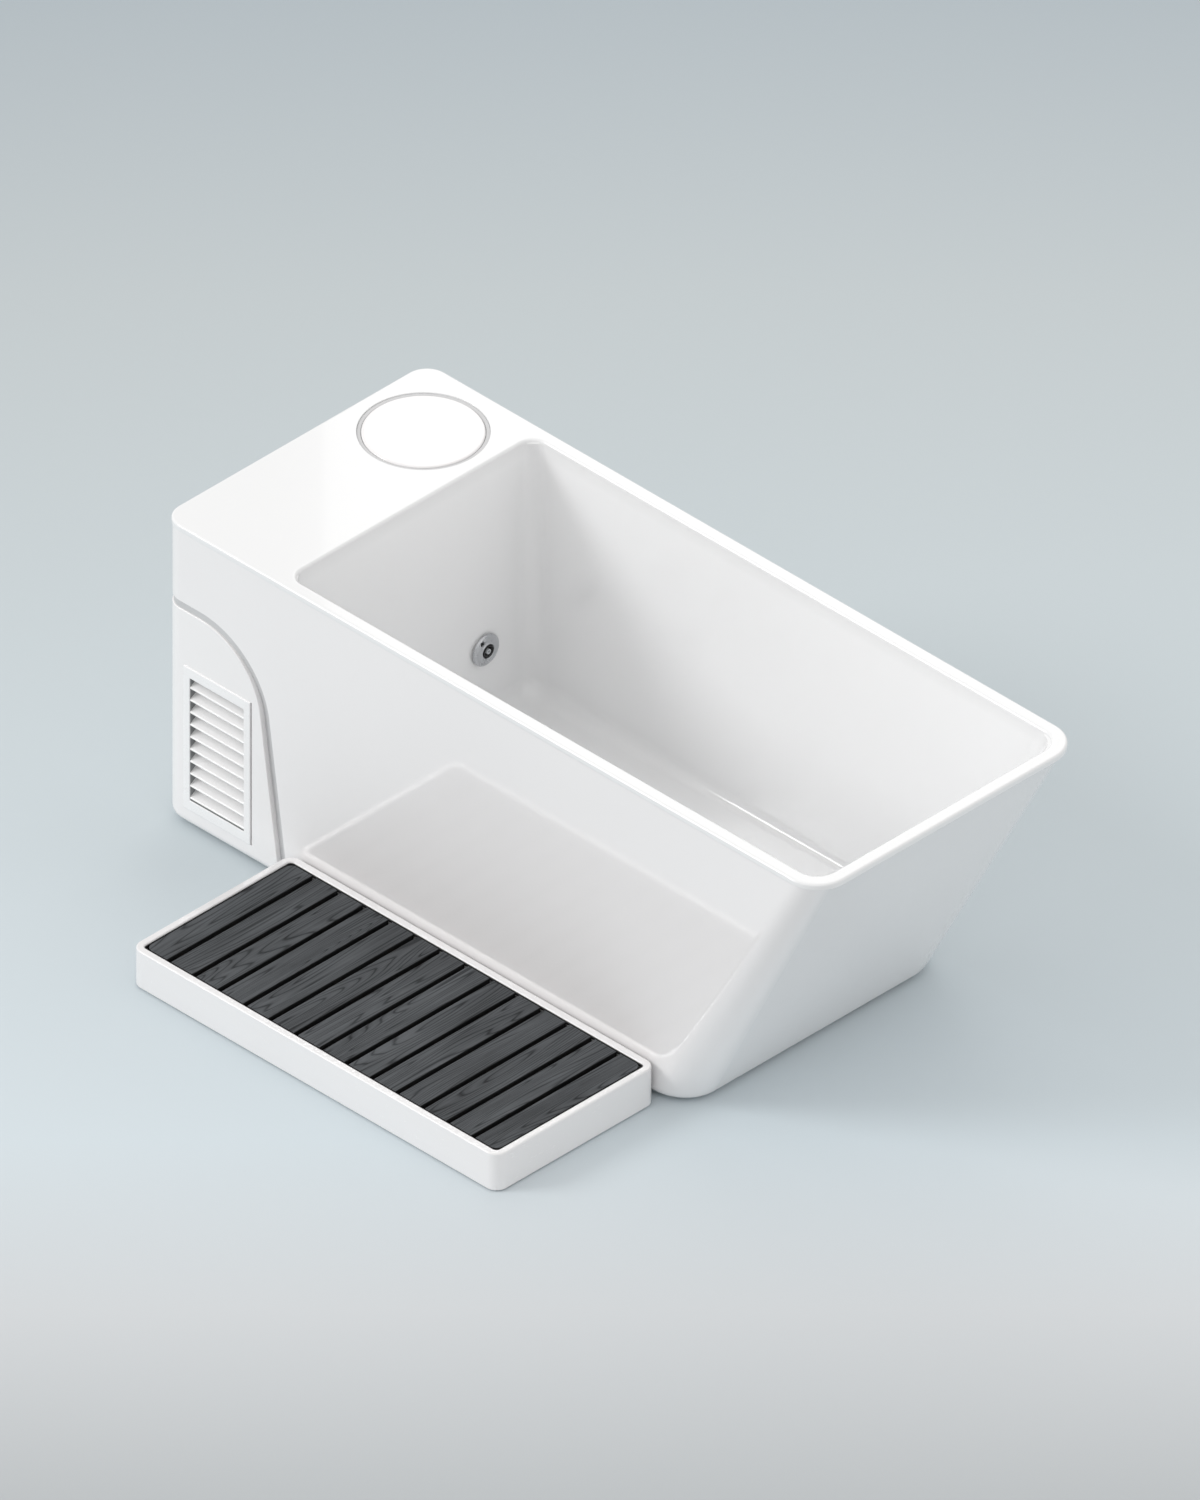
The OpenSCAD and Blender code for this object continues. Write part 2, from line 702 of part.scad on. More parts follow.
// Fan shroud standing on the base pan behind the coil
shroud_t = 3;
ring_l = 26;
fan_slip = 2;
ring_d = fan_d + 2 * fan_slip + 2 * shroud_t;
arm_w = 10;
arm_t = 4;
arm_l = ring_d - shroud_t;
shaft_room = 4;
motor_y = coil_back + shroud_t + ring_l;
module fan_shroud() color("dimgray") difference() {
    union() {
        translate([vent_x - coil_w / 2, coil_back, pan_top])
            cube([coil_w, shroud_t, vent_z + coil_h / 2 - pan_top]);
        rod_y(vent_x, coil_back + shroud_t / 2, motor_y, vent_z, ring_d);
        for (a = [0, 90]) translate([vent_x, motor_y - arm_t / 2, vent_z]) rotate([0, a, 0])
            translate([-arm_l / 2, 0, -arm_w / 2]) cube([arm_l, arm_t + arm_t / 2, arm_w]);
        rod_y(vent_x, motor_y - arm_t / 2, motor_y + arm_t, vent_z, fan_motor_d);
    }
    rod_y(vent_x, coil_back - over, motor_y, vent_z, fan_d + 2 * fan_slip);
    rod_y(vent_x, motor_y - over, motor_y + arm_t + over, vent_z, shaft_d + 2 * shaft_room);
}
fan_motor_d = 60;
fan_motor_l = 40;
shaft_d = 8;
module fan_motor() color("gray") {
    difference() {
        rod_y(vent_x, motor_y + arm_t, motor_y + arm_t + fan_motor_l, vent_z, fan_motor_d);
        rod_y(vent_x, motor_y, motor_y + arm_t + shaft_d, vent_z, shaft_d + 2 * hole_slip);
    }
}
hub_d = 46;
hub_l = 18;
fan_chord = 46;
fan_blade_t = 2.5;
fan_pitch = 24;
fan_y = coil_back + shroud_t + ring_l / 2;
module fan_rotor() color("darkslategray") {
    rod_y(vent_x, fan_y - hub_l / 2, fan_y + hub_l / 2, vent_z, hub_d);
    rod_y(vent_x, fan_y, motor_y + arm_t + shaft_d - fit_gap, vent_z, shaft_d);
    translate([vent_x, fan_y, vent_z]) intersection() {
        for (i = [0 : fan_blades - 1]) rotate([0, i * 360 / fan_blades, 0])
            rotate([0, 0, fan_pitch]) translate([-fan_chord / 2, -fan_blade_t / 2, 0])
                cube([fan_chord, fan_blade_t, fan_d]);
        rod_y(0, -fan_chord, fan_chord, 0, fan_d);
    }
}

// Compressor on three grommets
grommet_d = 26;
grommet_h = 16;
foot_t = 4;
foot_in = 10;
can_z = pan_top + grommet_h;
dome_share = 0.72;
dome_h = 18;
module compressor() color("black") translate([compressor_x, compressor_y, can_z]) {
    rotate_extrude() polygon([[0, 0], [compressor_d / 2, 0],
        [compressor_d / 2, compressor_h - dome_h], [dome_share * compressor_d / 2, compressor_h],
        [0, compressor_h]]);
    for (a = [90, 210, 330]) rotate([0, 0, a]) difference() {
        translate([0, -grommet_d / 2, 0]) cube([compressor_d / 2 + foot_in, grommet_d, foot_t]);
        translate([compressor_d / 2, 0, -over]) cylinder(h = foot_t + 2 * over, d = cover_screw_d);
    }
}
module compressor_grommets() color("dimgray") for (a = [90, 210, 330])
    translate([compressor_x, compressor_y, pan_top]) rotate([0, 0, a]) translate([compressor_d / 2, 0, 0])
        cylinder(h = grommet_h, d = grommet_d);

// Heat exchanger: a closed vessel with two side ports
exchanger_low = 52;
exchanger_port_in = 28;
exchanger_high = exchanger_h - exchanger_port_in;
exchanger_y1 = exchanger_y + exchanger_d / 2;
module heat_exchanger() color("gray") difference() {
    union() {
        translate([exchanger_x, exchanger_y, pan_top]) cylinder(h = exchanger_h, d = exchanger_d);
        for (z = [exchanger_low, exchanger_high])
            rod_y(exchanger_x, exchanger_y, exchanger_y1 + port_l, pan_top + z, pipe_d);
    }
    translate([exchanger_x, exchanger_y, pan_top + housing_t])
        cylinder(h = exchanger_h - 2 * housing_t, d = exchanger_d - 2 * housing_t);
    for (z = [exchanger_low, exchanger_high])
        rod_y(exchanger_x, exchanger_y, exchanger_y1 + port_l + over, pan_top + z, pipe_d - 2 * pipe_t);
}

// Circulation pump
volute_t = 5;
outlet_x = hatch_x;
outlet_z = pump_z + volute_d / 2 + port_l;
shaft_bore = shaft_d + 2 * hole_slip;
module pump_volute() color("dimgray") difference() {
    union() {
        rod_y(pump_x, pump_y, pump_y + volute_w, pump_z, volute_d);
        rod_y(pump_x, pump_y - port_l, pump_y + volute_t, pump_z, pipe_d);
        translate([outlet_x, pump_y + volute_w / 2, pump_z]) cylinder(h = outlet_z - pump_z, d = pipe_d);
    }
    rod_y(pump_x, pump_y + volute_t, pump_y + volute_w - volute_t, pump_z, volute_d - 2 * volute_t);
    rod_y(pump_x, pump_y - port_l - over, pump_y + 2 * volute_t, pump_z, pipe_d - 2 * pipe_t);
    rod_y(pump_x, pump_y + volute_t, pump_y + volute_w + over, pump_z, shaft_bore);
    translate([outlet_x, pump_y + volute_w / 2, pump_z])
        cylinder(h = outlet_z - pump_z + over, d = pipe_d - 2 * pipe_t);
}
vane_count = 6;
vane_h = 12;
disc_t = 4;
impeller_gap = 2;
impeller_y = pump_y + volute_w - volute_t - impeller_gap - disc_t;
module pump_impeller() color("orange") {
    rod_y(pump_x, impeller_y, impeller_y + disc_t, pump_z, impeller_d);
    rod_y(pump_x, impeller_y - vane_h, pump_y + volute_w + 2 * shaft_d, pump_z, shaft_d);
    translate([pump_x, impeller_y - vane_h, pump_z]) for (i = [0 : vane_count - 1])
        rotate([0, i * 360 / vane_count, 0]) translate([shaft_d / 4, 0, -disc_t / 4])
            cube([impeller_d / 2 - shaft_d / 2, vane_h + disc_t / 2, disc_t / 2]);
}
rib_count = 7;
rib_t = 3;
rib_h = 4;
motor_y0 = pump_y + volute_w;
module pump_motor() color("steelblue") difference() {
    union() {
        rod_y(pump_x, motor_y0, motor_y0 + motor_l, pump_z, motor_d - 2 * rib_h);
        for (i = [0 : rib_count - 1])
            rod_y(pump_x, motor_y0 + i * (motor_l - rib_t) / (rib_count - 1),
                motor_y0 + i * (motor_l - rib_t) / (rib_count - 1) + rib_t, pump_z, motor_d);
    }
    rod_y(pump_x, motor_y0 - over, motor_y0 + 2 * shaft_d + fit_gap, pump_z, shaft_bore);
}
cradle_w_share = 0.8;
cradle_l = motor_l / 2;
cradle_y0 = motor_y0 + cradle_l / 2;
module pump_cradle() color("dimgray") difference() {
    translate([pump_x - cradle_w_share * motor_d / 2, cradle_y0, pan_top])
        cube([cradle_w_share * motor_d, cradle_l, pump_z - motor_d / 4 - pan_top]);
    rod_y(pump_x, cradle_y0 - over, cradle_y0 + cradle_l + over, pump_z, motor_d + fit_gap);
}

// Water pipes
suction_turn_x = 200;
chiller_run = 125;
chiller_turn_y = hatch_y - chiller_run;
chiller_drop = 54;
chiller_turn_z = housing_z - port_l - pipe_bend - chiller_drop;
drain_bend = 27;
module suction_pipe() color("white") pipe([[tail_x, suction_y, suction_z],
    [suction_turn_x, suction_y, suction_z], [suction_turn_x, suction_y, pump_z],
    [pump_x, suction_y, pump_z], [pump_x, pump_y - port_l, pump_z]], pipe_d, pipe_t, pipe_bend);
module filter_feed_pipe() color("white") pipe([[outlet_x, pump_y + volute_w / 2, outlet_z],
    [outlet_x, pump_y + volute_w / 2, feed_z],
    [hatch_x, hatch_y - housing_d / 2 - port_l, feed_z]], pipe_d, pipe_t, pipe_bend);
module chiller_feed_pipe() color("white") pipe([[hatch_x, hatch_y, housing_z - port_l],
    [hatch_x, hatch_y, chiller_turn_z], [hatch_x, chiller_turn_y, chiller_turn_z],
    [exchanger_x, chiller_turn_y, chiller_turn_z],
    [exchanger_x, chiller_turn_y, pan_top + exchanger_high],
    [exchanger_x, exchanger_y1 + port_l, pan_top + exchanger_high]], pipe_d, pipe_t, pipe_bend);
module return_pipe() color("white") pipe([[exchanger_x, exchanger_y1 + port_l, pan_top + exchanger_low],
    [exchanger_x, jet_y, pan_top + exchanger_low], [exchanger_x, jet_y, jet_z],
    [tail_x, jet_y, jet_z]], pipe_d, pipe_t, pipe_bend);
module drain_pipe() color("white") pipe([[drain_x, tub_w / 2, strainer_low],
    [drain_x, tub_w / 2, drain_z], [drain_x, outlet_in, drain_z]], pipe_d, pipe_t, drain_bend);

// Refrigerant lines
line_t = 1;
line_bend = 14;
coil_x0 = vent_x - coil_w / 2 - tube_d;
coil_mid = coil_y + coil_d / 2;
coil_pitch = coil_h / tube_count;
line_x = 38;
top_port = 20;
coil_top_z = vent_z + coil_h / 2 - coil_pitch / 2;
coil_low_z = vent_z - coil_h / 2 + coil_pitch / 2;
module discharge_line() color("peru") pipe([[compressor_x, compressor_y + top_port, can_z + compressor_h],
    [compressor_x, compressor_y + top_port, coil_top_z], [line_x, compressor_y + top_port, coil_top_z],
    [line_x, coil_mid, coil_top_z], [coil_x0, coil_mid, coil_top_z]], line_d, line_t, line_bend / 2);
liquid_y = compressor_y - compressor_d / 2 - 2 * line_d;
module liquid_line() color("peru") pipe([[coil_x0, coil_mid, coil_low_z],
    [line_x, coil_mid, coil_low_z], [line_x, liquid_y, coil_low_z],
    [exchanger_x, liquid_y, coil_low_z], [exchanger_x, exchanger_y - exchanger_d / 2, coil_low_z]],
    line_d, line_t, line_bend / 2);
module vapour_line() color("peru") pipe([[exchanger_x, exchanger_y, pan_top + exchanger_h],
    [exchanger_x, exchanger_y, pan_top + exchanger_h + 2 * line_bend],
    [compressor_x, exchanger_y, pan_top + exchanger_h + 2 * line_bend],
    [compressor_x, exchanger_y, can_z + compressor_h]], line_d, line_t, line_bend / 2);

// Control box on the bulkhead
box_w = 220;
box_h = 200;
box_d = 56;
box_lid_t = 4;
box_y = 80;
box_drop = 60;
box_z = shell_top - box_drop - box_h;
module control_box() color("gray") difference() {
    translate([bulkhead_x0 - box_d, box_y, box_z]) cube([box_d, box_w, box_h]);
    translate([bulkhead_x0 - box_d - over, box_y + box_lid_t, box_z + box_lid_t])
        cube([box_d - box_lid_t + over, box_w - 2 * box_lid_t, box_h - 2 * box_lid_t]);
}
module control_box_lid() color("dimgray")
    translate([bulkhead_x0 - box_d - box_lid_t, box_y, box_z]) cube([box_lid_t, box_w, box_h]);

// Return jet: body through the wall, nut behind, turning ring and eyeball in front
jet_neck_d = 46;
jet_flange_d = 62;
jet_flange_t = 4;
nut_t = 10;
ring_t = 10;
neck_past = 4;
seat_share = 0.8;
ring_seat = seat_share * eyeball_d;
jet_face_x = deck_l + jet_flange_t;
ball_x = jet_face_x + ring_t / 2;
module jet_body() color("white") difference() {
    union() {
        rod_x(deck_l, jet_face_x, jet_y, jet_z, jet_flange_d);
        rod_x(bulkhead_x0 - nut_t - neck_past, deck_l + jet_flange_t / 2, jet_y, jet_z, jet_neck_d);
        rod_x(tail_x, bulkhead_x0, jet_y, jet_z, pipe_d);
    }
    rod_x(deck_l - nut_t, jet_face_x + over, jet_y, jet_z, jet_neck_d - 2 * pipe_t);
    rod_x(tail_x - over, deck_l, jet_y, jet_z, pipe_d - 2 * pipe_t);
}
module jet_nut() color("gray")
    ring_x(bulkhead_x0 - nut_t, bulkhead_x0, jet_y, jet_z, jet_neck_d + 2 * nut_t,
        jet_neck_d + 2 * hole_slip);
module jet_ring() color("silver") translate([jet_face_x + fit_gap, jet_y, jet_z])
    rotate([0, 90, 0]) rotate_extrude() difference() {
        polygon([[ring_seat / 2, 0], [jet_d / 2, 0], [jet_d / 2, ring_t / 3],
            [jet_d / 2 - ring_t / 2, ring_t], [ring_seat / 2, ring_t]]);
        translate([0, ring_t / 2 - fit_gap]) circle(d = eyeball_d + 2 * fit_gap);
    }
module jet_eyeball() color("dimgray") translate([ball_x, jet_y, jet_z])
    rotate([0, 90, 0]) rotate_extrude() difference() {
        circle(d = eyeball_d);
        translate([-eyeball_d, -eyeball_d]) square([eyeball_d + nozzle_d / 2, 2 * eyeball_d]);
    }

// Suction fitting low on the deck-end wall of the basin
suction_neck_d = 50;
suction_step = 4;
suction_flange_d = suction_d - 2 * suction_step;
module suction_fitting() color("white") difference() {
    union() {
        rod_x(deck_l, deck_l + jet_flange_t, suction_y, suction_z, suction_flange_d);
        rod_x(bulkhead_x0 - nut_t - neck_past, deck_l + jet_flange_t / 2, suction_y, suction_z,
            suction_neck_d);
        rod_x(tail_x, bulkhead_x0, suction_y, suction_z, pipe_d);
    }
    rod_x(tail_x - over, deck_l + 2 * jet_flange_t, suction_y, suction_z, pipe_d - 2 * pipe_t);
}
module suction_nut() color("gray")
    ring_x(bulkhead_x0 - nut_t, bulkhead_x0, suction_y, suction_z, suction_neck_d + 2 * nut_t,
        suction_neck_d + 2 * hole_slip);
grate_t = 8;
slot_w = 5;
slot_pitch = 12;
slot_l_share = 0.6;
module suction_cover() color("white") {
    x0 = deck_l + jet_flange_t;
    n = floor(slot_l_share * suction_d / slot_pitch / 2);
    difference() {
        rod_x(x0, x0 + grate_t, suction_y, suction_z, suction_d);
        for (i = [-n : n]) translate([x0 - over, suction_y + i * slot_pitch - slot_w / 2,
            suction_z - slot_l_share * suction_d / 2])
            cube([grate_t + 2 * over, slot_w, slot_l_share * suction_d]);
    }
}

// Floor drain, its outlet through the back of the shell, and the plug
strainer_d = 60;
strainer_neck_d = 40;
strainer_drop = 4;
strainer_low = liner_under - strainer_drop;
strainer_slots = 6;
strainer_t = 3;
module drain_strainer() color("silver") translate([drain_x, tub_w / 2, 0]) difference() {
    union() {
        translate([0, 0, basin_z]) cylinder(h = strainer_t, d = strainer_d);
        translate([0, 0, strainer_low])
            cylinder(h = basin_z - strainer_low + strainer_t / 2, d = strainer_neck_d);
    }
    for (i = [0 : strainer_slots - 1]) rotate([0, 0, i * 360 / strainer_slots])
        translate([pipe_d / 4, 0, strainer_low - over])
        cylinder(h = basin_z - strainer_low + strainer_t + 2 * over, d = slot_w);
}
outlet_neck_d = 40;
outlet_flange_d = 58;
outlet_flange_t = 4;
outlet_l = 36;
outlet_in = back_wall - shell_t - outlet_l;
module drain_outlet() color("white") difference() {
    union() {
        rod_y(drain_x, back_wall, back_wall + outlet_flange_t, drain_z, outlet_flange_d);
        rod_y(drain_x, outlet_in, back_wall + outlet_flange_t / 2, drain_z, outlet_neck_d);
    }
    rod_y(drain_x, outlet_in - over, back_wall + outlet_flange_t + over, drain_z, drain_d);
}
plug_l = 24;
plug_key = 10;
module drain_plug() color("dimgray") difference() {
    rod_y(drain_x, back_wall + outlet_flange_t - plug_l, back_wall + outlet_flange_t, drain_z,
        drain_d - 2 * hole_slip);
    translate([drain_x, back_wall + outlet_flange_t + over, drain_z]) rotate([90, 0, 0])
        cylinder(h = plug_key, d = plug_key, $fn = 6);
}

// Bushing where the supply cable enters
bushing_d = 40;
bushing_neck_d = 26;
bushing_l = 24;
module cable_bushing() color("black") difference() {
    union() {
        rod_y(bushing_x, back_wall, back_wall + outlet_flange_t, drain_z, bushing_d);
        rod_y(bushing_x, back_wall - bushing_l, back_wall + outlet_flange_t / 2, drain_z, bushing_neck_d);
    }
    rod_y(bushing_x, back_wall - bushing_l - over, back_wall + 2 * outlet_flange_t, drain_z, cable_d);
}

// Step, standing on its own pads in front of the tub
step_y1 = -step_gap;
step_y0 = step_y1 - step_d;
step_pad_h = 3;
step_sole = 9;
step_sole_w = 34;
plank_z = step_h - plank_sink - plank_t;
bearer_z = step_pad_h + step_sole;
bearer_w = 34;
bearer_shares = [0.14, 0.5, 0.86];
plank_end = 2;
module step_frame() color("white") difference() {
    translate([0, 0, step_pad_h]) linear_extrude(step_h - step_pad_h)
        round_rect(step_x, step_x + step_l, step_y0, step_y1, step_r, step_r);
    translate([0, 0, bearer_z]) linear_extrude(step_h)
        round_rect(step_x + step_bar, step_x + step_l - step_bar, step_y0 + step_bar,
            step_y1 - step_bar, step_r - step_bar, step_r - step_bar);
    translate([step_x + step_sole_w, step_y0 + step_sole_w, 0])
        cube([step_l - 2 * step_sole_w, step_d - 2 * step_sole_w, step_h]);
}
bearer_gap = 1;
function bearer_y(i) = step_y0 + step_bar + bearer_shares[i] * (step_d - 2 * step_bar);
module step_bearers() color("saddlebrown") difference() {
    for (i = [0 : len(bearer_shares) - 1])
        translate([step_x + step_bar + bearer_gap, bearer_y(i) - bearer_w / 2, bearer_z])
            cube([step_l - 2 * (step_bar + bearer_gap), bearer_w, plank_z - bearer_z]);
    step_screw_holes();
}
plank_room = step_l - 2 * (step_bar + plank_end);
plank_pitch = (plank_room + plank_gap) / plank_count;
plank_w = plank_pitch - plank_gap;
function plank_x(i) = step_x + step_bar + plank_end + i * plank_pitch;
module step_planks() color("dimgray") difference() {
    intersection() {
        for (i = [0 : plank_count - 1])
            translate([plank_x(i), step_y0 + step_bar + plank_end, plank_z])
                cube([plank_w, step_d - 2 * (step_bar + plank_end), plank_t]);
        translate([0, 0, plank_z - over]) linear_extrude(plank_t + 2 * over)
            round_rect(step_x + step_bar + plank_end, step_x + step_l - step_bar - plank_end,
                step_y0 + step_bar + plank_end, step_y1 - step_bar - plank_end,
                step_r - step_bar, step_r - step_bar);
    }
    step_screw_holes();
}
step_pad_d = 17;
module step_pads() color("black")
    for (x = [step_sole_w, step_l / 2, step_l - step_sole_w],
        y = [step_y0 + step_sole_w / 2, step_y1 - step_sole_w / 2])
        translate([step_x + x, y, 0]) cylinder(h = step_pad_h, d = step_pad_d);
step_screw_d = 5;
step_screw_in = 14;
screw_bearers = [0, len(bearer_shares) - 1];
module step_screw_rods(d, low, high) for (i = [0 : plank_count - 1], j = screw_bearers)
    translate([plank_x(i) + plank_w / 2, bearer_y(j), bearer_z - low])
        cylinder(h = plank_z - bearer_z + step_screw_in + low + high, d = d);
module step_screw_holes() step_screw_rods(step_screw_d + 2 * hole_slip, over, fit_gap);
module step_screws() color("silver") step_screw_rods(step_screw_d, 0, 0);

translate(frame_shift()) {
    outer_shell();
    basin();
    bulkhead();
    base_pan();
    base_pads();
    foam_front();
    foam_back();
    foam_end();
    foam_floor();
    service_cover();
    front_grille();
    rear_grille();
    cover_screws();
    hatch_lid();
    hatch_gasket();
    filter_housing();
    cartridge_pleats();
    cartridge_caps();
    cartridge_handle();
    condenser_coil();
    fan_shroud();
    fan_motor();
    fan_rotor();
    compressor();
    compressor_grommets();
    heat_exchanger();
    pump_volute();
    pump_impeller();
    pump_motor();
    pump_cradle();
    suction_pipe();
    filter_feed_pipe();
    chiller_feed_pipe();
    return_pipe();
    drain_pipe();
    discharge_line();
    liquid_line();
    vapour_line();
    control_box();
    control_box_lid();
    jet_body();
    jet_nut();
    jet_ring();
    jet_eyeball();
    suction_fitting();
    suction_nut();
    suction_cover();
    drain_strainer();
    drain_outlet();
    drain_plug();
    cable_bushing();
    step_frame();
    step_bearers();
    step_planks();
    step_pads();
    step_screws();
}
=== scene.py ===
import json
import math

import bmesh
import bpy
from mathutils import Matrix, Vector, geometry


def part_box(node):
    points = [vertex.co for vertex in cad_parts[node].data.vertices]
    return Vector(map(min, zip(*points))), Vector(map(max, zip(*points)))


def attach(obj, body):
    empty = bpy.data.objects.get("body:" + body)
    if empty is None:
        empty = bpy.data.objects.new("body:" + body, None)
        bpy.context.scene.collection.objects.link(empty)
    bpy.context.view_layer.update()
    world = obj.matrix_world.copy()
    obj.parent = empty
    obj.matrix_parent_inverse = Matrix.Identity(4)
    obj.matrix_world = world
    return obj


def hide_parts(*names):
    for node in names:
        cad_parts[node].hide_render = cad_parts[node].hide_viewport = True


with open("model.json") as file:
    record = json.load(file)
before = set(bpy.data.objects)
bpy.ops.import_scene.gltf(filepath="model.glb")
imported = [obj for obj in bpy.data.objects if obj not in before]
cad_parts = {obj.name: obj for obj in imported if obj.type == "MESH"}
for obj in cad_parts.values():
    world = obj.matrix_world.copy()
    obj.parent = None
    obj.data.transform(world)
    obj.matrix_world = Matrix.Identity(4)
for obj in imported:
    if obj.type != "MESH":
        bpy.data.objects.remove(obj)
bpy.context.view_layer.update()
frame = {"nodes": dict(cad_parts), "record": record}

# Units: sizes are in millimetres in the tub's own directions, x from the deck end along the
# tub, y from the front to the back and z up from the floor
MM = 0.001
RIM_LOW, RIM_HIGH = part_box("basin")
TUB_L = (RIM_HIGH.x - RIM_LOW.x) / MM
TUB_W = (RIM_HIGH.y - RIM_LOW.y) / MM
TUB_H = RIM_HIGH.z / MM

# Rim, deck and basin
RAKE = math.radians(27.5)
DECK_R = 50
RIM_R = 76
LIP_H = 14
LIP_T = 5.4
LIP_IN = 0.6
LIP_ROUND = 5
OPEN_X0 = 330
OPEN_X1 = TUB_L - 33
OPEN_Y0 = 32
OPEN_Y1 = TUB_W - OPEN_Y0
OPEN_R0 = 34
OPEN_R1 = 46
OPEN_R_MORE = 6
OPEN_STRETCH = 1.1
ROLL_R = 6
LINER_T = 4.6
FLOOR_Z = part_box("drain_strainer")[1].z / MM - 3
# The fillet between wall and floor. WALL_FOOT is how far above the floor the plain wall ends.
# At the raked end it follows the rake up to RAKE_BREAK degrees, drawn in by the share
# RAKE_PULL, and bends to the floor from there. The powers say how near each end it is drawn in
FILLET_WIDE = 38
FILLET_TIGHT = 11
TAPER_X = (430, 800)
WALL_FOOT = 60
RAKE_BREAK = 60
RAKE_PULL = 0.25
DECK_FADE = 6
RAKE_FADE = 30
HATCH = (165, TUB_W - 175)
HATCH_R = 135
LEDGE_R = 115
LEDGE_DROP = 12
GROOVE_D = 4.6
GROOVE_EDGE = 1.2
LID_R = 124.5
LID_GAP = 0.7
LID_EDGE = 4
LID_T = 9
SKIRT_GAP = 2
SKIRT_T = 5
SKIRT_H = 7.6

# Shell and service cover
WALL_IN = 2.4
END_IN = 9
SHELL_R = DECK_R - WALL_IN
SHELL_TOP = TUB_H - 5.5
SHELL_T = 3.4
SHELL_Z0 = 8
HEEL_R = 30
HEM_R = 20
HEM_IN = 34
SEAM_FOOT_X = 344
SEAM_Z = 536
SEAM_LEAN = math.radians(8.1)
SEAM_R = 185
SEAM_HALF = (8.5, 12)
SEAM_D = (3.8, 12)
EDGE_R = 2.2
END_HEM_R = 14.0
END_R = (54, 34)
END_STRETCH = 1.06
# The wall is drawn in strips up to SPLIT_X, in rings beyond it, and even up to TURN_X
SPLIT_X = 700
TURN_X = 1540

# Louvred grille
VENT_X = 157
VENT_Z = 223
VENT_W = 188
VENT_H = 346
VENT_BAR = 18
VENT_END_BAR = 24
VENT_PROUD = 2.4
SLOT_W = 3.6
SLOT_D = 6
BLADES = 10
BLADE_D = 17.5
BLADE_T = 5.8
BLADE_RISE = math.radians(31)

# Step
STEP_LOW, STEP_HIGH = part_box("step_frame")
STEP_X0 = (STEP_LOW.x - RIM_LOW.x) / MM
STEP_X1 = (STEP_HIGH.x - RIM_LOW.x) / MM
STEP_Y0 = (STEP_LOW.y - RIM_LOW.y) / MM
STEP_Y1 = (STEP_HIGH.y - RIM_LOW.y) / MM
STEP_Z0 = STEP_LOW.z / MM
STEP_H = STEP_HIGH.z / MM
STEP_R = 27
STEP_BAR = 17
STEP_EDGE = 3.5
FLANGE_W = 34
FLANGE_T = 9
PLANK_COUNT = 14
PLANK_GAP = 11
PLANK_END = 4
PLANK_T = 22
PLANK_SINK = 2.5
GAP_SHADE_SINK = 3.4
PLANK_R = 17
PLANK_EDGE = 1.2

# Jet
JET_Y = TUB_W - 170
JET_Z = 279
JET_X = OPEN_X0
BALL_R = 16
BALL_OUT = 9.0
# Where the painted notch sits on the jet's ring: its angle in degrees and its radius
NOTCH_AT = 126
NOTCH_R = 28

# Fineness of the meshes. SUPPORT is how far beside a rounding the next flat row lies, WELD how
# close points merge, in metres, and SHARP and CRISP from how many degrees on an edge shows
CORNER_STEPS = 12
ROUND_STEPS = 6
SUPPORT = 2.5
WELD = 2e-5
SHARP = 38
CRISP = 30

# Light, as strengths, angles in degrees and directions in the frame
WORLD_LIGHT = 0.88
WORLD_SEEN = 0.95
KEY_LIGHT = 0.95
KEY_ANGLE = 22
KEY_FROM = (-0.56, -0.64, 0.53)
SOFTBOX_LIGHT = 0.85


def at(p):
    """A point in tub millimetres, as metres in the shared frame."""
    return Vector((RIM_LOW.x + p[0] * MM, RIM_LOW.y + p[1] * MM, p[2] * MM))


def span(a, b, count):
    """Evenly spaced values from a to b, both included."""
    return [a + (b - a) * i / count for i in range(count + 1)]


def edge_round(r, steps=ROUND_STEPS):
    """How far in and how far down the steps round an edge of radius r lie, from its side to its
    top."""
    return [(r * (1 - math.cos(a)), r * (1 - math.sin(a))) for a in span(0, math.pi / 2, steps)]


def ring(x0, x1, y0, y1, r0, r1, z=0.0, steps=CORNER_STEPS, stretch=1.0):
    """Points round a plan outline, seen from above against the clock from its deck-end front
    corner. r0 and r1 round the corners at x0 and x1, and stretch makes those at x1 longer."""
    flat = []
    corners = [(x0, y0, r0, 1.0, 1, 1, 180), (x1, y0, r1, stretch, -1, 1, 270),
               (x1, y1, r1, stretch, -1, -1, 0), (x0, y1, r0, 1.0, 1, -1, 90)]
    for cx, cy, r, long, sx, sy, turn in corners:
        arc = []
        for i in range(steps + 1):
            a = math.radians(turn + 90 * i / steps)
            arc.append((cx + sx * r * long + r * long * math.cos(a), cy + sy * r + r * math.sin(a)))
        before = (math.sin(math.radians(turn)), -math.cos(math.radians(turn)))
        after = (-math.sin(math.radians(turn + 90)), math.cos(math.radians(turn + 90)))
        arc.insert(0, (arc[0][0] + SUPPORT * before[0], arc[0][1] + SUPPORT * before[1]))
        arc.append((arc[-1][0] + SUPPORT * after[0], arc[-1][1] + SUPPORT * after[1]))
        flat += arc
    return [(x, y, z) for x, y in flat]


def inside(p, loop):
    """Whether a flat point lies in a closed loop."""
    hit = False
    for (ax, ay), (bx, by) in zip(loop, loop[1:] + loop[:1]):
        if (ay > p[1]) != (by > p[1]) and p[0] < ax + (bx - ax) * (p[1] - ay) / (by - ay):
            hit = not hit
    return hit


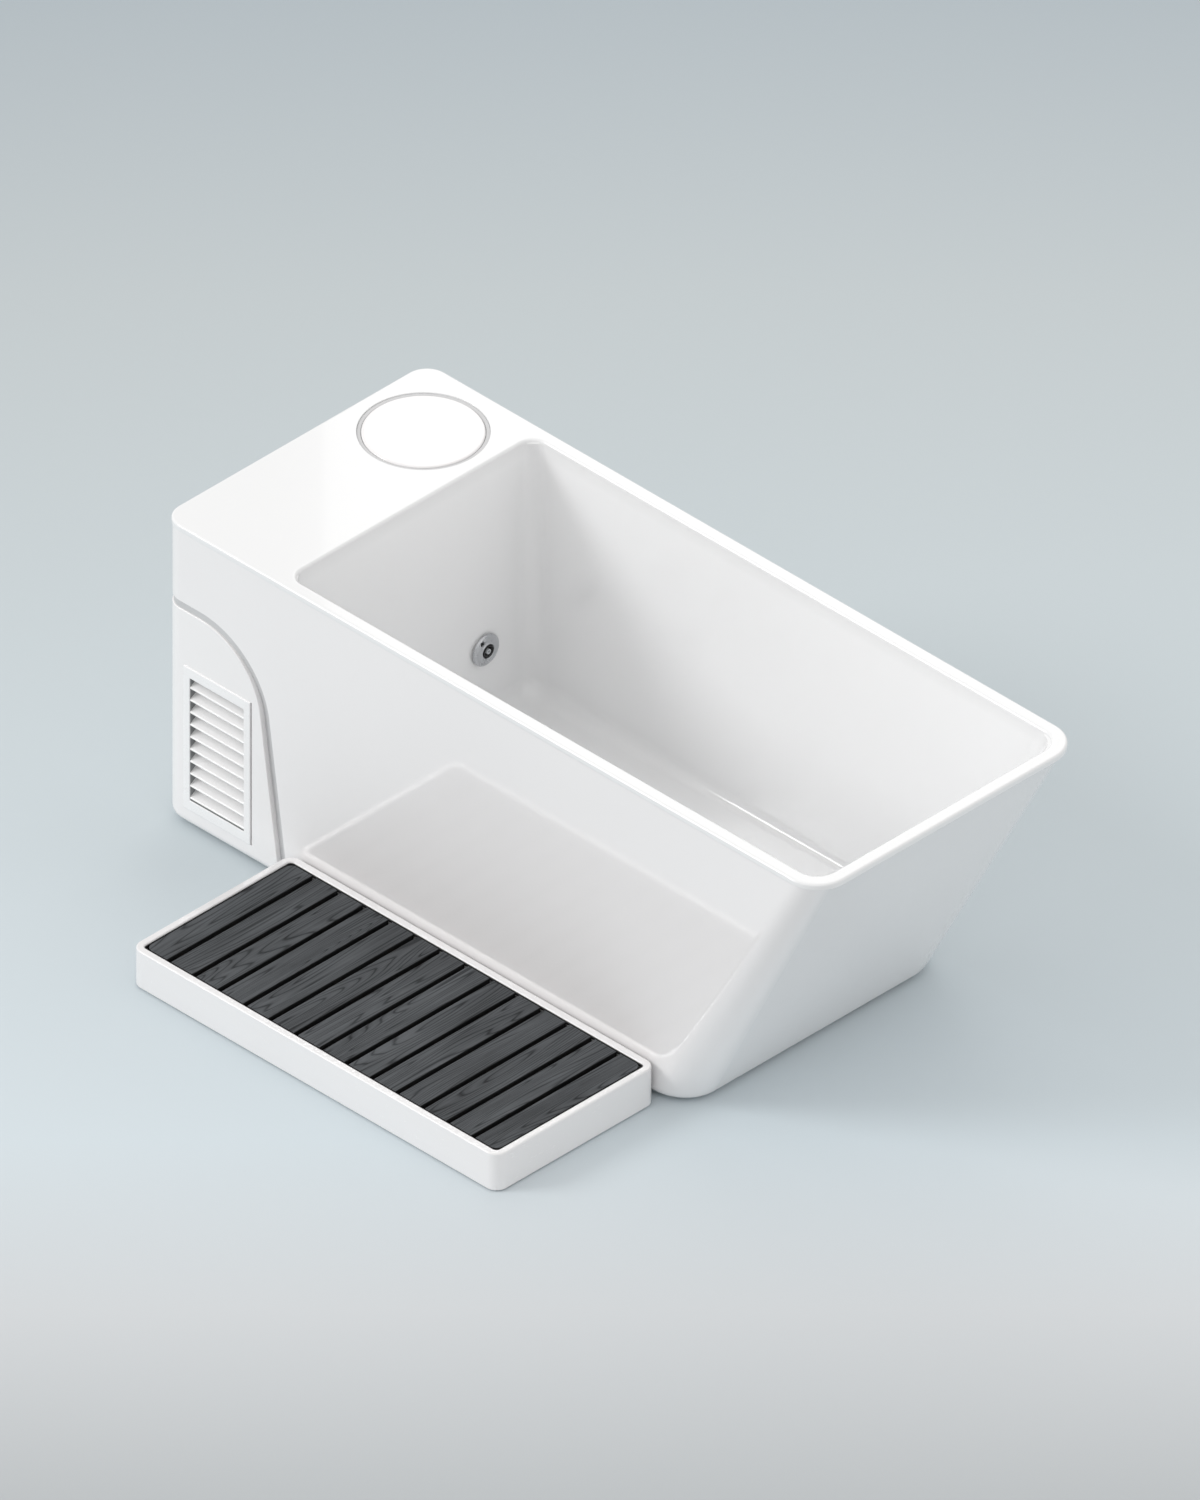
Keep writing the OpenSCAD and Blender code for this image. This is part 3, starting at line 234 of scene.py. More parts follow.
class Skin:
    """Points and faces in tub millimetres that become one piece."""

    def __init__(self):
        self.points = []
        self.faces = []

    def loft(self, rows, closed=True, flip=False):
        """Joins rows of equal length by quads. Rows that rise round a ring that runs against
        the clock face outwards."""
        start = len(self.points)
        count = len(rows[0])
        for row in rows:
            self.points += row
        for j in range(len(rows) - 1):
            for i in range(count if closed else count - 1):
                a = start + j * count + i
                b = start + j * count + (i + 1) % count
                quad = (a, b, b + count, a + count)
                self.faces.append(quad[::-1] if flip else quad)

    def fill(self, outer, holes, lift, lines=(), flip=False):
        """Fills the flat region between loops with triangles, split along lines. lift turns a
        flat point into a point in space."""
        flat, edges = [], []
        for loop in [outer] + list(holes):
            start = len(flat)
            flat += [Vector(p) for p in loop]
            edges += [(start + i, start + (i + 1) % len(loop)) for i in range(len(loop))]
        for a, b in lines:
            edges.append((len(flat), len(flat) + 1))
            flat += [Vector(a), Vector(b)]
        spots, _, faces, _, _, _ = geometry.delaunay_2d_cdt(flat, edges, [], 0, 1e-4)
        start = len(self.points)
        self.points += [tuple(lift(p.x, p.y)) for p in spots]
        for face in faces:
            a, b, c = (spots[i] for i in face[:3])
            turn = (b - a).cross(c - a)
            middle = (a + b + c) / 3
            if abs(turn) < 1e-7 or not inside(middle, outer) or any(inside(middle, h) for h in holes):
                continue
            up = turn > 0
            order = face if up != flip else face[::-1]
            self.faces.append(tuple(start + i for i in order))

    def box(self, low, high, bevel=0.0):
        """A block between two corners, with its upright edges rounded by bevel."""
        rows = []
        for inset, z in ((bevel, low[2]), (0, low[2] + bevel), (0, high[2] - bevel), (bevel, high[2])):
            rows.append(ring(low[0] + inset, high[0] - inset, low[1] + inset, high[1] - inset,
                             max(bevel, 0.3), max(bevel, 0.3), z, steps=2))
        middle = [(low[k] + high[k]) / 2 for k in (0, 1)]
        caps = [[(*middle, z)] * len(rows[0]) for z in (low[2], high[2])]
        self.loft(caps[:1] + rows + caps[1:])

    def piece(self, name, body, material, thick=0.0, sharp=SHARP, turn=None):
        """Makes the piece, welded, smooth up to the sharp angle, and riding on its body."""
        mesh = bpy.data.meshes.new(name)
        turned = [turn(p) for p in self.points] if turn else self.points
        mesh.from_pydata([at(p) for p in turned], [], self.faces)
        work = bmesh.new()
        work.from_mesh(mesh)
        bmesh.ops.remove_doubles(work, verts=work.verts, dist=WELD)
        bmesh.ops.dissolve_degenerate(work, edges=work.edges, dist=WELD)
        bmesh.ops.delete(work, geom=[v for v in work.verts if not v.link_faces], context="VERTS")
        if all(len(edge.link_faces) == 2 for edge in work.edges):
            bmesh.ops.recalc_face_normals(work, faces=work.faces)
        work.to_mesh(mesh)
        work.free()
        piece = bpy.data.objects.new(name, mesh)
        bpy.context.collection.objects.link(piece)
        if thick:
            sheet = piece.modifiers.new("thickness", "SOLIDIFY")
            sheet.thickness = thick * MM
            sheet.offset = -1
            sheet.use_even_offset = False
            bpy.context.view_layer.update()
            solved = piece.evaluated_get(bpy.context.evaluated_depsgraph_get())
            ready = bpy.data.meshes.new_from_object(solved)
            piece.modifiers.clear()
            piece.data = ready
            mesh = ready
        mesh.materials.clear()
        mesh.materials.append(material)
        for face in mesh.polygons:
            face.use_smooth = True
        mesh.set_sharp_from_angle(angle=math.radians(sharp))
        even = piece.modifiers.new("flat_faces", "WEIGHTED_NORMAL")
        even.keep_sharp = True
        even.weight = 100
        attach(piece, body)
        return piece


# Materials
def nodes_of(material):
    """Turns a material's nodes on; gives its tree and its shader."""
    material.use_nodes = True
    tree = material.node_tree
    shader = tree.nodes["Principled BSDF"]
    return tree, shader


def noise(tree, place, scale, detail=4.0, rough=0.5, distort=0.0):
    """A noise texture over the object's own places, stretched by scale."""
    stretch = tree.nodes.new("ShaderNodeMapping")
    stretch.inputs["Scale"].default_value = scale if isinstance(scale, tuple) else (scale,) * 3
    tree.links.new(place, stretch.inputs["Vector"])
    cloud = tree.nodes.new("ShaderNodeTexNoise")
    cloud.inputs["Scale"].default_value = 1.0
    cloud.inputs["Detail"].default_value = detail
    cloud.inputs["Roughness"].default_value = rough
    cloud.inputs["Distortion"].default_value = distort
    tree.links.new(stretch.outputs["Vector"], cloud.inputs["Vector"])
    return cloud.outputs["Fac"]


def ramp(tree, value, stops):
    """Maps a value to colours or greys through stops of (place, colour)."""
    node = tree.nodes.new("ShaderNodeValToRGB")
    band = node.color_ramp
    while len(band.elements) < len(stops):
        band.elements.new(0.5)
    for element, (place, colour) in zip(band.elements, stops):
        element.position = place
        element.color = (*colour, 1) if isinstance(colour, tuple) else (colour, colour, colour, 1)
    tree.links.new(value, node.inputs["Fac"])
    return node.outputs["Color"]


def bump(tree, shader, height, distance, strength=1.0, after=None):
    """Raises the surface by height, distance metres at most, on top of the bump after."""
    node = tree.nodes.new("ShaderNodeBump")
    node.inputs["Distance"].default_value = distance
    node.inputs["Strength"].default_value = strength
    tree.links.new(height, node.inputs["Height"])
    if after:
        tree.links.new(after, node.inputs["Normal"])
    tree.links.new(node.outputs["Normal"], shader.inputs["Normal"])
    return node.outputs["Normal"]


def places(tree):
    """The object's own places, in metres."""
    return tree.nodes.new("ShaderNodeTexCoord").outputs["Object"]


def surface(name, light, dark, rough, cloud=6.0, grain=600.0, depth=0.00005, metal=0.0, coat=0.0,
            spread=0.05, stretch=(1, 1, 1)):
    """A moulded, painted or metal surface: clouds of colour between light and dark, a gloss that
    varies by spread about rough, and a grain that is depth metres deep."""
    material = bpy.data.materials.new(name)
    tree, shader = nodes_of(material)
    place = places(tree)
    shader.inputs["Metallic"].default_value = metal
    shader.inputs["Coat Weight"].default_value = coat
    shader.inputs["Coat Roughness"].default_value = 0.05
    drift = noise(tree, place, tuple(cloud * s for s in stretch), detail=5.0)
    tree.links.new(ramp(tree, drift, [(0.3, dark), (0.7, light)]), shader.inputs["Base Color"])
    gloss = noise(tree, place, tuple(cloud * 4 * s for s in stretch), detail=6.0, rough=0.6)
    tree.links.new(ramp(tree, gloss, [(0.25, max(rough - spread, 0.02)), (0.75, rough + spread)]),
                   shader.inputs["Roughness"])
    fine = noise(tree, place, tuple(grain * s for s in stretch), detail=3.0)
    bump(tree, shader, fine, depth, 0.6)
    return material


def gloss_white(name, light, dark, rough=0.16, rim=1.0):
    """Moulded acrylic: a hard glossy coat over white, faint ripples and hairline scuffs, with
    the colour graded down to the share rim from 690 to 722 mm up: painted shade on the lit top."""
    material = bpy.data.materials.new(name)
    tree, shader = nodes_of(material)
    place = places(tree)
    shader.inputs["IOR"].default_value = 1.5
    shader.inputs["Coat Weight"].default_value = 0.6
    shader.inputs["Coat Roughness"].default_value = 0.04
    shader.inputs["Coat IOR"].default_value = 1.5
    drift = noise(tree, place, 2.3, detail=3.0)
    height = tree.nodes.new("ShaderNodeSeparateXYZ")
    tree.links.new(place, height.inputs[0])
    toned = tree.nodes.new("ShaderNodeVectorMath")
    toned.operation = "SCALE"
    tree.links.new(ramp(tree, drift, [(0.3, dark), (0.7, light)]), toned.inputs[0])
    # Painted shade: from 690 mm up the colour grades down to the share rim, which darkens the lit top.
    tree.links.new(ramp(tree, height.outputs["Z"], [(0.69, 1.0), (0.722, rim)]), toned.inputs["Scale"])
    tree.links.new(toned.outputs["Vector"], shader.inputs["Base Color"])
    wear = noise(tree, place, (30.0, 30.0, 55.0), detail=8.0, rough=0.65)
    scuff = noise(tree, place, (420.0, 60.0, 420.0), detail=2.0, distort=0.4)
    both = tree.nodes.new("ShaderNodeMath")
    both.operation = "MULTIPLY"
    tree.links.new(wear, both.inputs[0])
    tree.links.new(scuff, both.inputs[1])
    tree.links.new(ramp(tree, both.outputs["Value"], [(0.15, rough - 0.04), (0.5, rough + 0.1)]),
                   shader.inputs["Roughness"])
    ripple = noise(tree, place, 9.0, detail=2.0)
    first = bump(tree, shader, ripple, 0.0006, 0.25)
    bump(tree, shader, noise(tree, place, 900.0, detail=2.0), 0.00002, 0.3, after=first)
    return material


def charcoal_wood():
    """Embossed charcoal planks: long grain, arched growth lines and a slight sheen, with the plank sides
    painted near black as painted shade in the gaps.
    """
    material = bpy.data.materials.new("charcoal_wood")
    tree, shader = nodes_of(material)
    place = places(tree)
    shade = tree.nodes.new("ShaderNodeAttribute")
    shade.attribute_name = "plank"
    shift = tree.nodes.new("ShaderNodeVectorMath")
    shift.operation = "MULTIPLY_ADD"
    shift.inputs[1].default_value = (3.1, 7.7, 1.9)
    tree.links.new(shade.outputs["Vector"], shift.inputs[0])
    tree.links.new(place, shift.inputs[2])
    own = shift.outputs["Vector"]
    swirl = tree.nodes.new("ShaderNodeMapping")
    swirl.inputs["Scale"].default_value = (1.0, 0.06, 1.0)
    tree.links.new(own, swirl.inputs["Vector"])
    arches = tree.nodes.new("ShaderNodeTexNoise")
    arches.inputs["Scale"].default_value = 16.0
    arches.inputs["Detail"].default_value = 1.5
    arches.inputs["Distortion"].default_value = 0.18
    tree.links.new(swirl.outputs["Vector"], arches.inputs["Vector"])
    lines = tree.nodes.new("ShaderNodeMath")
    lines.operation = "MULTIPLY"
    lines.inputs[1].default_value = 34.0
    tree.links.new(arches.outputs["Fac"], lines.inputs[0])
    saw = tree.nodes.new("ShaderNodeMath")
    saw.operation = "PINGPONG"
    saw.inputs[1].default_value = 0.5
    tree.links.new(lines.outputs["Value"], saw.inputs[0])
    growth = ramp(tree, saw.outputs["Value"], [(0.02, 0.0), (0.15, 0.44), (0.5, 0.56)])
    fibres = noise(tree, own, (260.0, 5.0, 200.0), detail=6.0, rough=0.7, distort=0.2)
    patches = noise(tree, own, (12.0, 4.0, 12.0), detail=3.0)
    relief = tree.nodes.new("ShaderNodeMix")
    relief.data_type = "FLOAT"
    relief.inputs["Factor"].default_value = 0.5
    tree.links.new(growth, relief.inputs["A"])
    tree.links.new(fibres, relief.inputs["B"])
    grown = tree.nodes.new("ShaderNodeMix")
    grown.data_type = "FLOAT"
    grown.inputs["Factor"].default_value = 0.28
    tree.links.new(relief.outputs["Result"], grown.inputs["A"])
    tree.links.new(patches, grown.inputs["B"])
    greys = [(0.25, (0.008, 0.009, 0.0105)), (0.4, (0.036, 0.0395, 0.0435)), (0.6, (0.094, 0.101, 0.109))]
    tint = ramp(tree, grown.outputs["Result"], greys)
    # Painted shade: faces that turn away from up darken to 8% of the colour, which blackens the plank sides
    # in the gaps.
    facing = tree.nodes.new("ShaderNodeSeparateXYZ")
    tree.links.new(tree.nodes.new("ShaderNodeNewGeometry").outputs["Normal"], facing.inputs[0])
    painted_gap_shade = tree.nodes.new("ShaderNodeVectorMath")
    painted_gap_shade.operation = "SCALE"
    tree.links.new(tint, painted_gap_shade.inputs[0])
    tree.links.new(ramp(tree, facing.outputs["Z"], [(0.5, 0.08), (0.9, 1.0)]), painted_gap_shade.inputs["Scale"])
    tree.links.new(painted_gap_shade.outputs["Vector"], shader.inputs["Base Color"])
    sheen = ramp(tree, relief.outputs["Result"], [(0.2, 0.75), (0.7, 0.45)])
    tree.links.new(sheen, shader.inputs["Roughness"])
    shader.inputs["Specular IOR Level"].default_value = 0.35
    bump(tree, shader, relief.outputs["Result"], 0.0012, 0.9)
    return material


# What makes a surface fine-grained metal with a soft sheen
BRUSHED = {"cloud": 20.0, "grain": 1500.0, "depth": 0.00003, "metal": 1.0, "spread": 0.08}

ACRYLIC = gloss_white("acrylic_white", (0.89, 0.876, 0.878), (0.876, 0.862, 0.864), rough=0.11)
# The liner is a lighter copy of the acrylic white: painted light on the shaded inside of the basin. rim
# paints its top darker again.
LINER_WHITE = gloss_white("liner_white", (0.93, 0.933, 0.938), (0.92, 0.923, 0.929), rim=0.93)
COVER_WHITE = gloss_white("cover_white", (0.9, 0.886, 0.886), (0.886, 0.872, 0.873), rough=0.2)
STEP_WHITE = gloss_white("step_white", (0.845, 0.835, 0.838), (0.83, 0.82, 0.823), rough=0.22)
GRILLE_WHITE = gloss_white("grille_white", (0.92, 0.915, 0.917), (0.905, 0.9, 0.902), rough=0.3)
SLEEVE_GREY = surface("sleeve_grey", (0.3, 0.305, 0.31), (0.25, 0.255, 0.26), 0.6, grain=900.0)
RING_GREY = surface("ring_grey", (0.66, 0.66, 0.665), (0.6, 0.6, 0.606), 0.45, grain=900.0)
SEAM_GREY = surface("seam_grey", (0.6, 0.602, 0.608), (0.56, 0.562, 0.568), 0.5, grain=900.0)
# Black for the band inside the step's frame, which paints the shade in the gap round the planks.
GAP_SHADE_BLACK = surface("gap_shade_black", (0.02, 0.02, 0.022), (0.012, 0.012, 0.013), 0.6, grain=900.0)
WOOD = charcoal_wood()
METAL = surface("satin_metal", (0.62, 0.63, 0.65), (0.5, 0.51, 0.53), 0.3, **BRUSHED)
DARK = surface("dark_socket", (0.02, 0.02, 0.022), (0.012, 0.012, 0.013), 0.4, grain=900.0)
PALE_CAP = surface("nozzle_cap", (0.62, 0.64, 0.66), (0.55, 0.57, 0.6), 0.25, coat=0.5)

# The CAD pieces' finishes: slot, light and dark tone, roughness and what else differs
SLOT_LOOKS = [
    ("panel_grey", (0.42, 0.43, 0.45), (0.36, 0.37, 0.39), 0.7, {"grain": 1200.0, "depth": 0.0001}),
    ("pan_black", (0.028, 0.028, 0.03), (0.018, 0.018, 0.02), 0.5, {"grain": 1500.0, "depth": 0.0001}),
    ("rubber_black", (0.02, 0.02, 0.02), (0.013, 0.013, 0.013), 0.8, {"grain": 2200.0}),
    ("foam", (0.74, 0.68, 0.45), (0.66, 0.6, 0.38), 0.95, {"cloud": 14.0, "grain": 320.0, "depth": 0.0012}),
    ("steel", (0.62, 0.63, 0.64), (0.5, 0.51, 0.52), 0.32, BRUSHED),
    ("housing_grey", (0.2, 0.21, 0.225), (0.165, 0.175, 0.19), 0.42, {"grain": 1300.0}),
    ("filter_paper", (0.8, 0.82, 0.83), (0.7, 0.72, 0.73), 0.95, {"grain": 700.0, "depth": 0.0003}),
    ("cap_blue", (0.03, 0.09, 0.28), (0.022, 0.07, 0.22), 0.4, {"grain": 1100.0}),
    ("coil_aluminium", (0.72, 0.73, 0.74), (0.58, 0.59, 0.6), 0.38, BRUSHED),
    ("motor_grey", (0.14, 0.15, 0.17), (0.11, 0.12, 0.135), 0.38, {"coat": 0.4}),
    ("compressor_black", (0.018, 0.018, 0.02), (0.012, 0.012, 0.014), 0.22, {"coat": 0.8}),
    ("impeller_white", (0.7, 0.7, 0.66), (0.62, 0.62, 0.58), 0.45, {}),
    ("pipe_white", (0.78, 0.78, 0.765), (0.7, 0.7, 0.69), 0.36, {"grain": 900.0}),
    ("copper", (0.72, 0.36, 0.2), (0.55, 0.26, 0.14), 0.3, BRUSHED),
    ("bearer_wood", (0.24, 0.155, 0.085), (0.15, 0.095, 0.05), 0.75,
     {"cloud": 10.0, "grain": 90.0, "depth": 0.0005, "stretch": (0.12, 1, 1)}),
]
SLOT_FINISH = {}
for slot, light, dark, rough, more in SLOT_LOOKS:
    SLOT_FINISH[slot] = surface(slot, light, dark, rough, **more)


# Rim, deck and basin
def raked(x, z):
    """A place on the raked end that is x at rim height, at height z."""
    return x - (TUB_H - z) * math.tan(RAKE)


def disc(radius, z, steps=72):
    """A circle about the hatch's middle at height z."""
    return [(HATCH[0] + radius * math.cos(2 * math.pi * i / steps),
             HATCH[1] + radius * math.sin(2 * math.pi * i / steps), z) for i in range(steps)]


def fillet_at(x):
    """Radius between basin wall and floor, wide at the deck end and tight at the raked end."""
    share = min(max((x - TAPER_X[0]) / (TAPER_X[1] - TAPER_X[0]), 0), 1)
    return FILLET_WIDE + (FILLET_TIGHT - FILLET_WIDE) * share


def opening(x1, z):
    """The basin's plan outline at height z, with its raked end at x1."""
    return ring(OPEN_X0, x1, OPEN_Y0, OPEN_Y1, OPEN_R0 + OPEN_R_MORE, OPEN_R1 + OPEN_R_MORE, z,
                stretch=OPEN_STRETCH)


def basin():
    """Rim, flat deck with the hatch's groove, and basin, as one sheet."""
    skin = Skin()
    low = TUB_H - LIP_H
    outer = [(LIP_T, low + 0.6), (LIP_T - 1.2, low), (LIP_IN + 1.6, low), (LIP_IN + 0.5, low + 0.5),
             (LIP_IN, low + 1.6), (LIP_IN, TUB_H - LIP_ROUND - 1.5)]
    for back, down in edge_round(LIP_ROUND, ROUND_STEPS + 2):
        outer.append((LIP_IN + back, TUB_H - down))
    outer.append((LIP_IN + LIP_ROUND + SUPPORT, TUB_H))
    rows = [ring(i, TUB_L - i, i, TUB_W - i, DECK_R - i, RIM_R - i, z) for i, z in outer]
    skin.loft(rows)

    roll = [(-ROLL_R - SUPPORT, TUB_H)]
    for back, down in edge_round(ROLL_R, ROUND_STEPS + 2)[::-1]:
        roll.append((-back, TUB_H - down))
    inner = []
    for inset, z in roll:
        inner.append(ring(OPEN_X0 + inset, OPEN_X1 - inset, OPEN_Y0 + inset, OPEN_Y1 - inset,
                          OPEN_R0 - inset, OPEN_R1 - inset, z))
    for z in span(TUB_H - ROLL_R - SUPPORT, FLOOR_Z + WALL_FOOT, 8):
        inner.append(opening(raked(OPEN_X1, z), z))
    base_x1 = raked(OPEN_X1, FLOOR_Z)
    mid = (OPEN_Y0 + OPEN_Y1) / 2
    for a in span(0, 90, 10):
        turn = math.radians(a)
        row = []
        for x, y, _ in opening(base_x1, 0):
            r = fillet_at(x)
            z = FLOOR_Z + r * (1 - math.sin(turn))
            inset = r * (1 - math.cos(turn))
            flat = a >= RAKE_BREAK
            held = math.radians(RAKE_BREAK) if flat else turn
            top = raked(OPEN_X1, FLOOR_Z + r * (1 - math.sin(held)))
            pull = inset if flat else inset * RAKE_PULL
            share = (x - OPEN_X0) / (base_x1 - OPEN_X0)
            high = OPEN_X0 + (top - OPEN_X0) * share
            wide = 1 - inset / (mid - OPEN_Y0)
            new_x = high + inset * (1 - share) ** DECK_FADE - pull * share ** RAKE_FADE
            row.append((new_x, mid + (y - mid) * wide, z))
        inner.append(row)
    skin.loft(inner[::-1], flip=True)
    skin.fill([p[:2] for p in inner[-1]], [], lambda x, y: (x, y, FLOOR_Z))

    groove = [disc(HATCH_R + SUPPORT, TUB_H), disc(HATCH_R, TUB_H)]
    for a in span(0, math.pi / 2, ROUND_STEPS)[1:]:
        groove.append(disc(HATCH_R - GROOVE_EDGE * math.sin(a), TUB_H - GROOVE_EDGE * (1 - math.cos(a))))
    groove += [disc(HATCH_R - GROOVE_EDGE, TUB_H - GROOVE_D), disc(LID_R + LID_GAP, TUB_H - GROOVE_D),
               disc(LID_R + LID_GAP, TUB_H - LEDGE_DROP), disc(LEDGE_R + 1, TUB_H - LEDGE_DROP),
               disc(LEDGE_R, TUB_H - LEDGE_DROP - 1), disc(LEDGE_R, TUB_H - LEDGE_DROP - 5)]
    skin.loft(groove[::-1], flip=True)
    skin.fill([p[:2] for p in rows[-1]], [[p[:2] for p in inner[0]], [p[:2] for p in groove[0]]],
              lambda x, y: (x, y, TUB_H))
    # A grey seal ring in the groove round the lid. Its grey also paints the groove's shade, so it is partly
    # painted shade.
    shade_band = Skin()
    section = [(LID_R + 1, GROOVE_D + 0.2), (LID_R + 1, 3.4), (LID_R + 1.8, 2.7), (LID_R + 3.4, 2.5),
               (HATCH_R - 3.4, 2.2), (HATCH_R - 2, 2.5), (HATCH_R - 1.4, 3.2),
               (HATCH_R - 1.4, GROOVE_D + 0.2)]
    shade_band.loft([disc(r, TUB_H - z) for r, z in section[::-1] + section[-1:]])
    shade_band.piece("hatch_ring", "tub", RING_GREY)
    piece = skin.piece("rim_and_basin", "tub", LINER_WHITE, thick=LINER_T)
    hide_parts("basin")


# Shell: a sheet wrapped round the deck end, where s runs round the plan outline from the middle
# of the deck end past the front, and t is the height, run on round the bottom edge
END_HALF = TUB_W / 2 - WALL_IN - SHELL_R
CORNER_S = END_HALF + SHELL_R * math.pi / 2
EDGE_T = SHELL_Z0 + HEEL_R
PATH_L = HEEL_R - HEM_R + HEM_R * math.pi / 2 + HEM_IN - HEM_R
LOW_T = EDGE_T - PATH_L


def side(x):
    """The s of a place on the front wall."""
    return CORNER_S + x - WALL_IN - SHELL_R


def hem(t, r):
    """Inset, height and lean of the shell at height t, where r rounds the bottom edge."""
    if t >= EDGE_T:
        return 0.0, t, 0.0
    whole = HEEL_R - r + r * math.pi / 2 + HEM_IN - r
    run = (EDGE_T - t) / PATH_L * whole
    if run <= HEEL_R - r:
        return 0.0, EDGE_T - run, 0.0
    run -= HEEL_R - r
    if run <= r * math.pi / 2:
        lean = run / r
        return r * (1 - math.cos(lean)), SHELL_Z0 + r * (1 - math.sin(lean)), lean
    return r + run - r * math.pi / 2, SHELL_Z0, math.pi / 2


def wrap(s, t, d=0.0):
    """The point of the sheet at s and t, d under its face."""
    sign = 1 if s >= 0 else -1
    u = abs(s)
    if u <= END_HALF:
        px, py, nx, ny, turn = WALL_IN, u, -1.0, 0.0, 0.0
    elif u <= CORNER_S:
        turn = (u - END_HALF) / SHELL_R
        px = WALL_IN + SHELL_R * (1 - math.cos(turn))
        py = END_HALF + SHELL_R * math.sin(turn)
        nx, ny = -math.cos(turn), math.sin(turn)
    else:
        px, py = WALL_IN + SHELL_R + u - CORNER_S, TUB_W / 2 - WALL_IN
        nx, ny, turn = 0.0, 1.0, math.pi / 2
    r = HEEL_R + (HEM_R - HEEL_R) * math.sin(turn) ** 2
    inset, z, lean = hem(t, r)
    back = inset + d * math.cos(lean)
    return (px - nx * back, TUB_W / 2 - sign * (py - ny * back), z + d * math.sin(lean))


HEM_FLAT = HEEL_R - HEM_R
HEM_BEND = [HEM_FLAT + HEM_R * math.pi / 2 * i / 8 for i in range(1, 9)]
HEM_ROWS = [EDGE_T - run for run in [0, HEM_FLAT / 2, HEM_FLAT] + HEM_BEND + [PATH_L]]
CORNER_LINES = span(END_HALF, CORNER_S, CORNER_STEPS)
SLINES = [END_HALF - SUPPORT] + CORNER_LINES + [CORNER_S + SUPPORT]
WALL_ROWS = [EDGE_T + SUPPORT, 120, 250, 400, 560, 680, SHELL_TOP]
TROWS = HEM_ROWS[::-1] + WALL_ROWS


def between(pair, share):
    """A value between the two of a pair, eased at both ends."""
    return pair[0] + (pair[1] - pair[0]) * share * share * (3 - 2 * share)


def seam_row(place):
    """Sheet points along the seam from the front foot to the back. place gives how far a point
    lies from the seam's middle line and how deep, for the seam's half width and depth there."""
    corner_x = SEAM_FOOT_X - SEAM_Z * math.tan(SEAM_LEAN)
    arc_x = corner_x - SEAM_R * math.tan(math.pi / 4 - SEAM_LEAN / 2)
    arc_z = SEAM_Z - SEAM_R
    half = []
    n, d = place(SEAM_HALF[1], SEAM_D[1])
    for t in HEM_ROWS[::-1] + WALL_ROWS[:2]:
        half.append((side(SEAM_FOOT_X + n / math.cos(SEAM_LEAN) - t * math.tan(SEAM_LEAN)), t, d))
    for a in span(SEAM_LEAN, math.pi / 2, 22):
        share = 1 - (a - SEAM_LEAN) / (math.pi / 2 - SEAM_LEAN)
        n, d = place(between(SEAM_HALF, share), between(SEAM_D, share))
        half.append((side(arc_x + (SEAM_R + n) * math.cos(a)), arc_z + (SEAM_R + n) * math.sin(a), d))
    n, d = place(SEAM_HALF[0], SEAM_D[0])
    for s in [CORNER_S + SUPPORT] + CORNER_LINES[::-1] + [END_HALF - SUPPORT]:
        half.append((s, SEAM_Z + n, d))
    return half + [(-s, t, d) for s, t, d in half[::-1]]


def sheet_rows(profile):
    """The rows in space that a profile of places draws along the seam."""
    return [[wrap(*p) for p in seam_row(place)] for place in profile]


def edge_profile(sign):
    """The rounded edge beside the seam, from the face into the groove."""
    rows = [lambda half, deep: (sign * (half + EDGE_R + 1.5), 0.0)]
    for down, out in edge_round(EDGE_R):
        rows.append(lambda half, deep, out=out, down=down: (sign * (half + out), down))
    return rows


def plain_lines(reach_s):
    """Lines that keep the sheet's triangles within its flat strips."""
    upright = [((sign * s, LOW_T - 5), (sign * s, SHELL_TOP + 5)) for s in SLINES for sign in (1, -1)]
    level = [((-reach_s, t), (reach_s, t)) for t in HEM_ROWS + [EDGE_T + SUPPORT]]
    return upright + level


def vent_loop(sign, w, h):
    """An outline w wide and h high about a grille's middle, at the front or the back."""
    s0, s1 = side(VENT_X - w / 2), side(VENT_X + w / 2)
    z0, z1 = VENT_Z - h / 2, VENT_Z + h / 2
    loop = [(s0, z0), (s1, z0), (s1, z1), (s0, z1)]
    return [(sign * s, z) for s, z in loop]


def service_cover():
    """The shroud round the deck end, with an upright slot beside each grille."""
    skin = Skin()
    profile = edge_profile(-1)
    rows = sheet_rows(profile + [lambda half, deep: (-half, deep - 0.8)])
    skin.loft(rows, closed=False, flip=True)
    edge = [(s, t) for s, t, _ in seam_row(profile[0])]
    hole_w, hole_h = VENT_W - 2 * VENT_BAR + 6, VENT_H - 2 * VENT_END_BAR + 6
    holes = [vent_loop(sign, hole_w, hole_h) for sign in (1, -1)]
    for sign in (1, -1):
        slot = [(sign * (side(VENT_X + VENT_W / 2) + s), VENT_Z + z * (VENT_H / 2 + 0.5))
                for s, z in ((-1, -1), (SLOT_W, -1), (SLOT_W, 1), (-1, 1))]
        skin.loft([[wrap(s, t, d) for s, t in slot] for d in (SLOT_D, 0.0)], flip=sign > 0)
        skin.fill(slot, [], lambda s, t: wrap(s, t, SLOT_D))
        holes.append(slot)
    skin.fill(edge, holes, wrap, plain_lines(side(SPLIT_X)))
    piece = skin.piece("cover_shell", "cover", COVER_WHITE, thick=SHELL_T)
    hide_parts("service_cover")


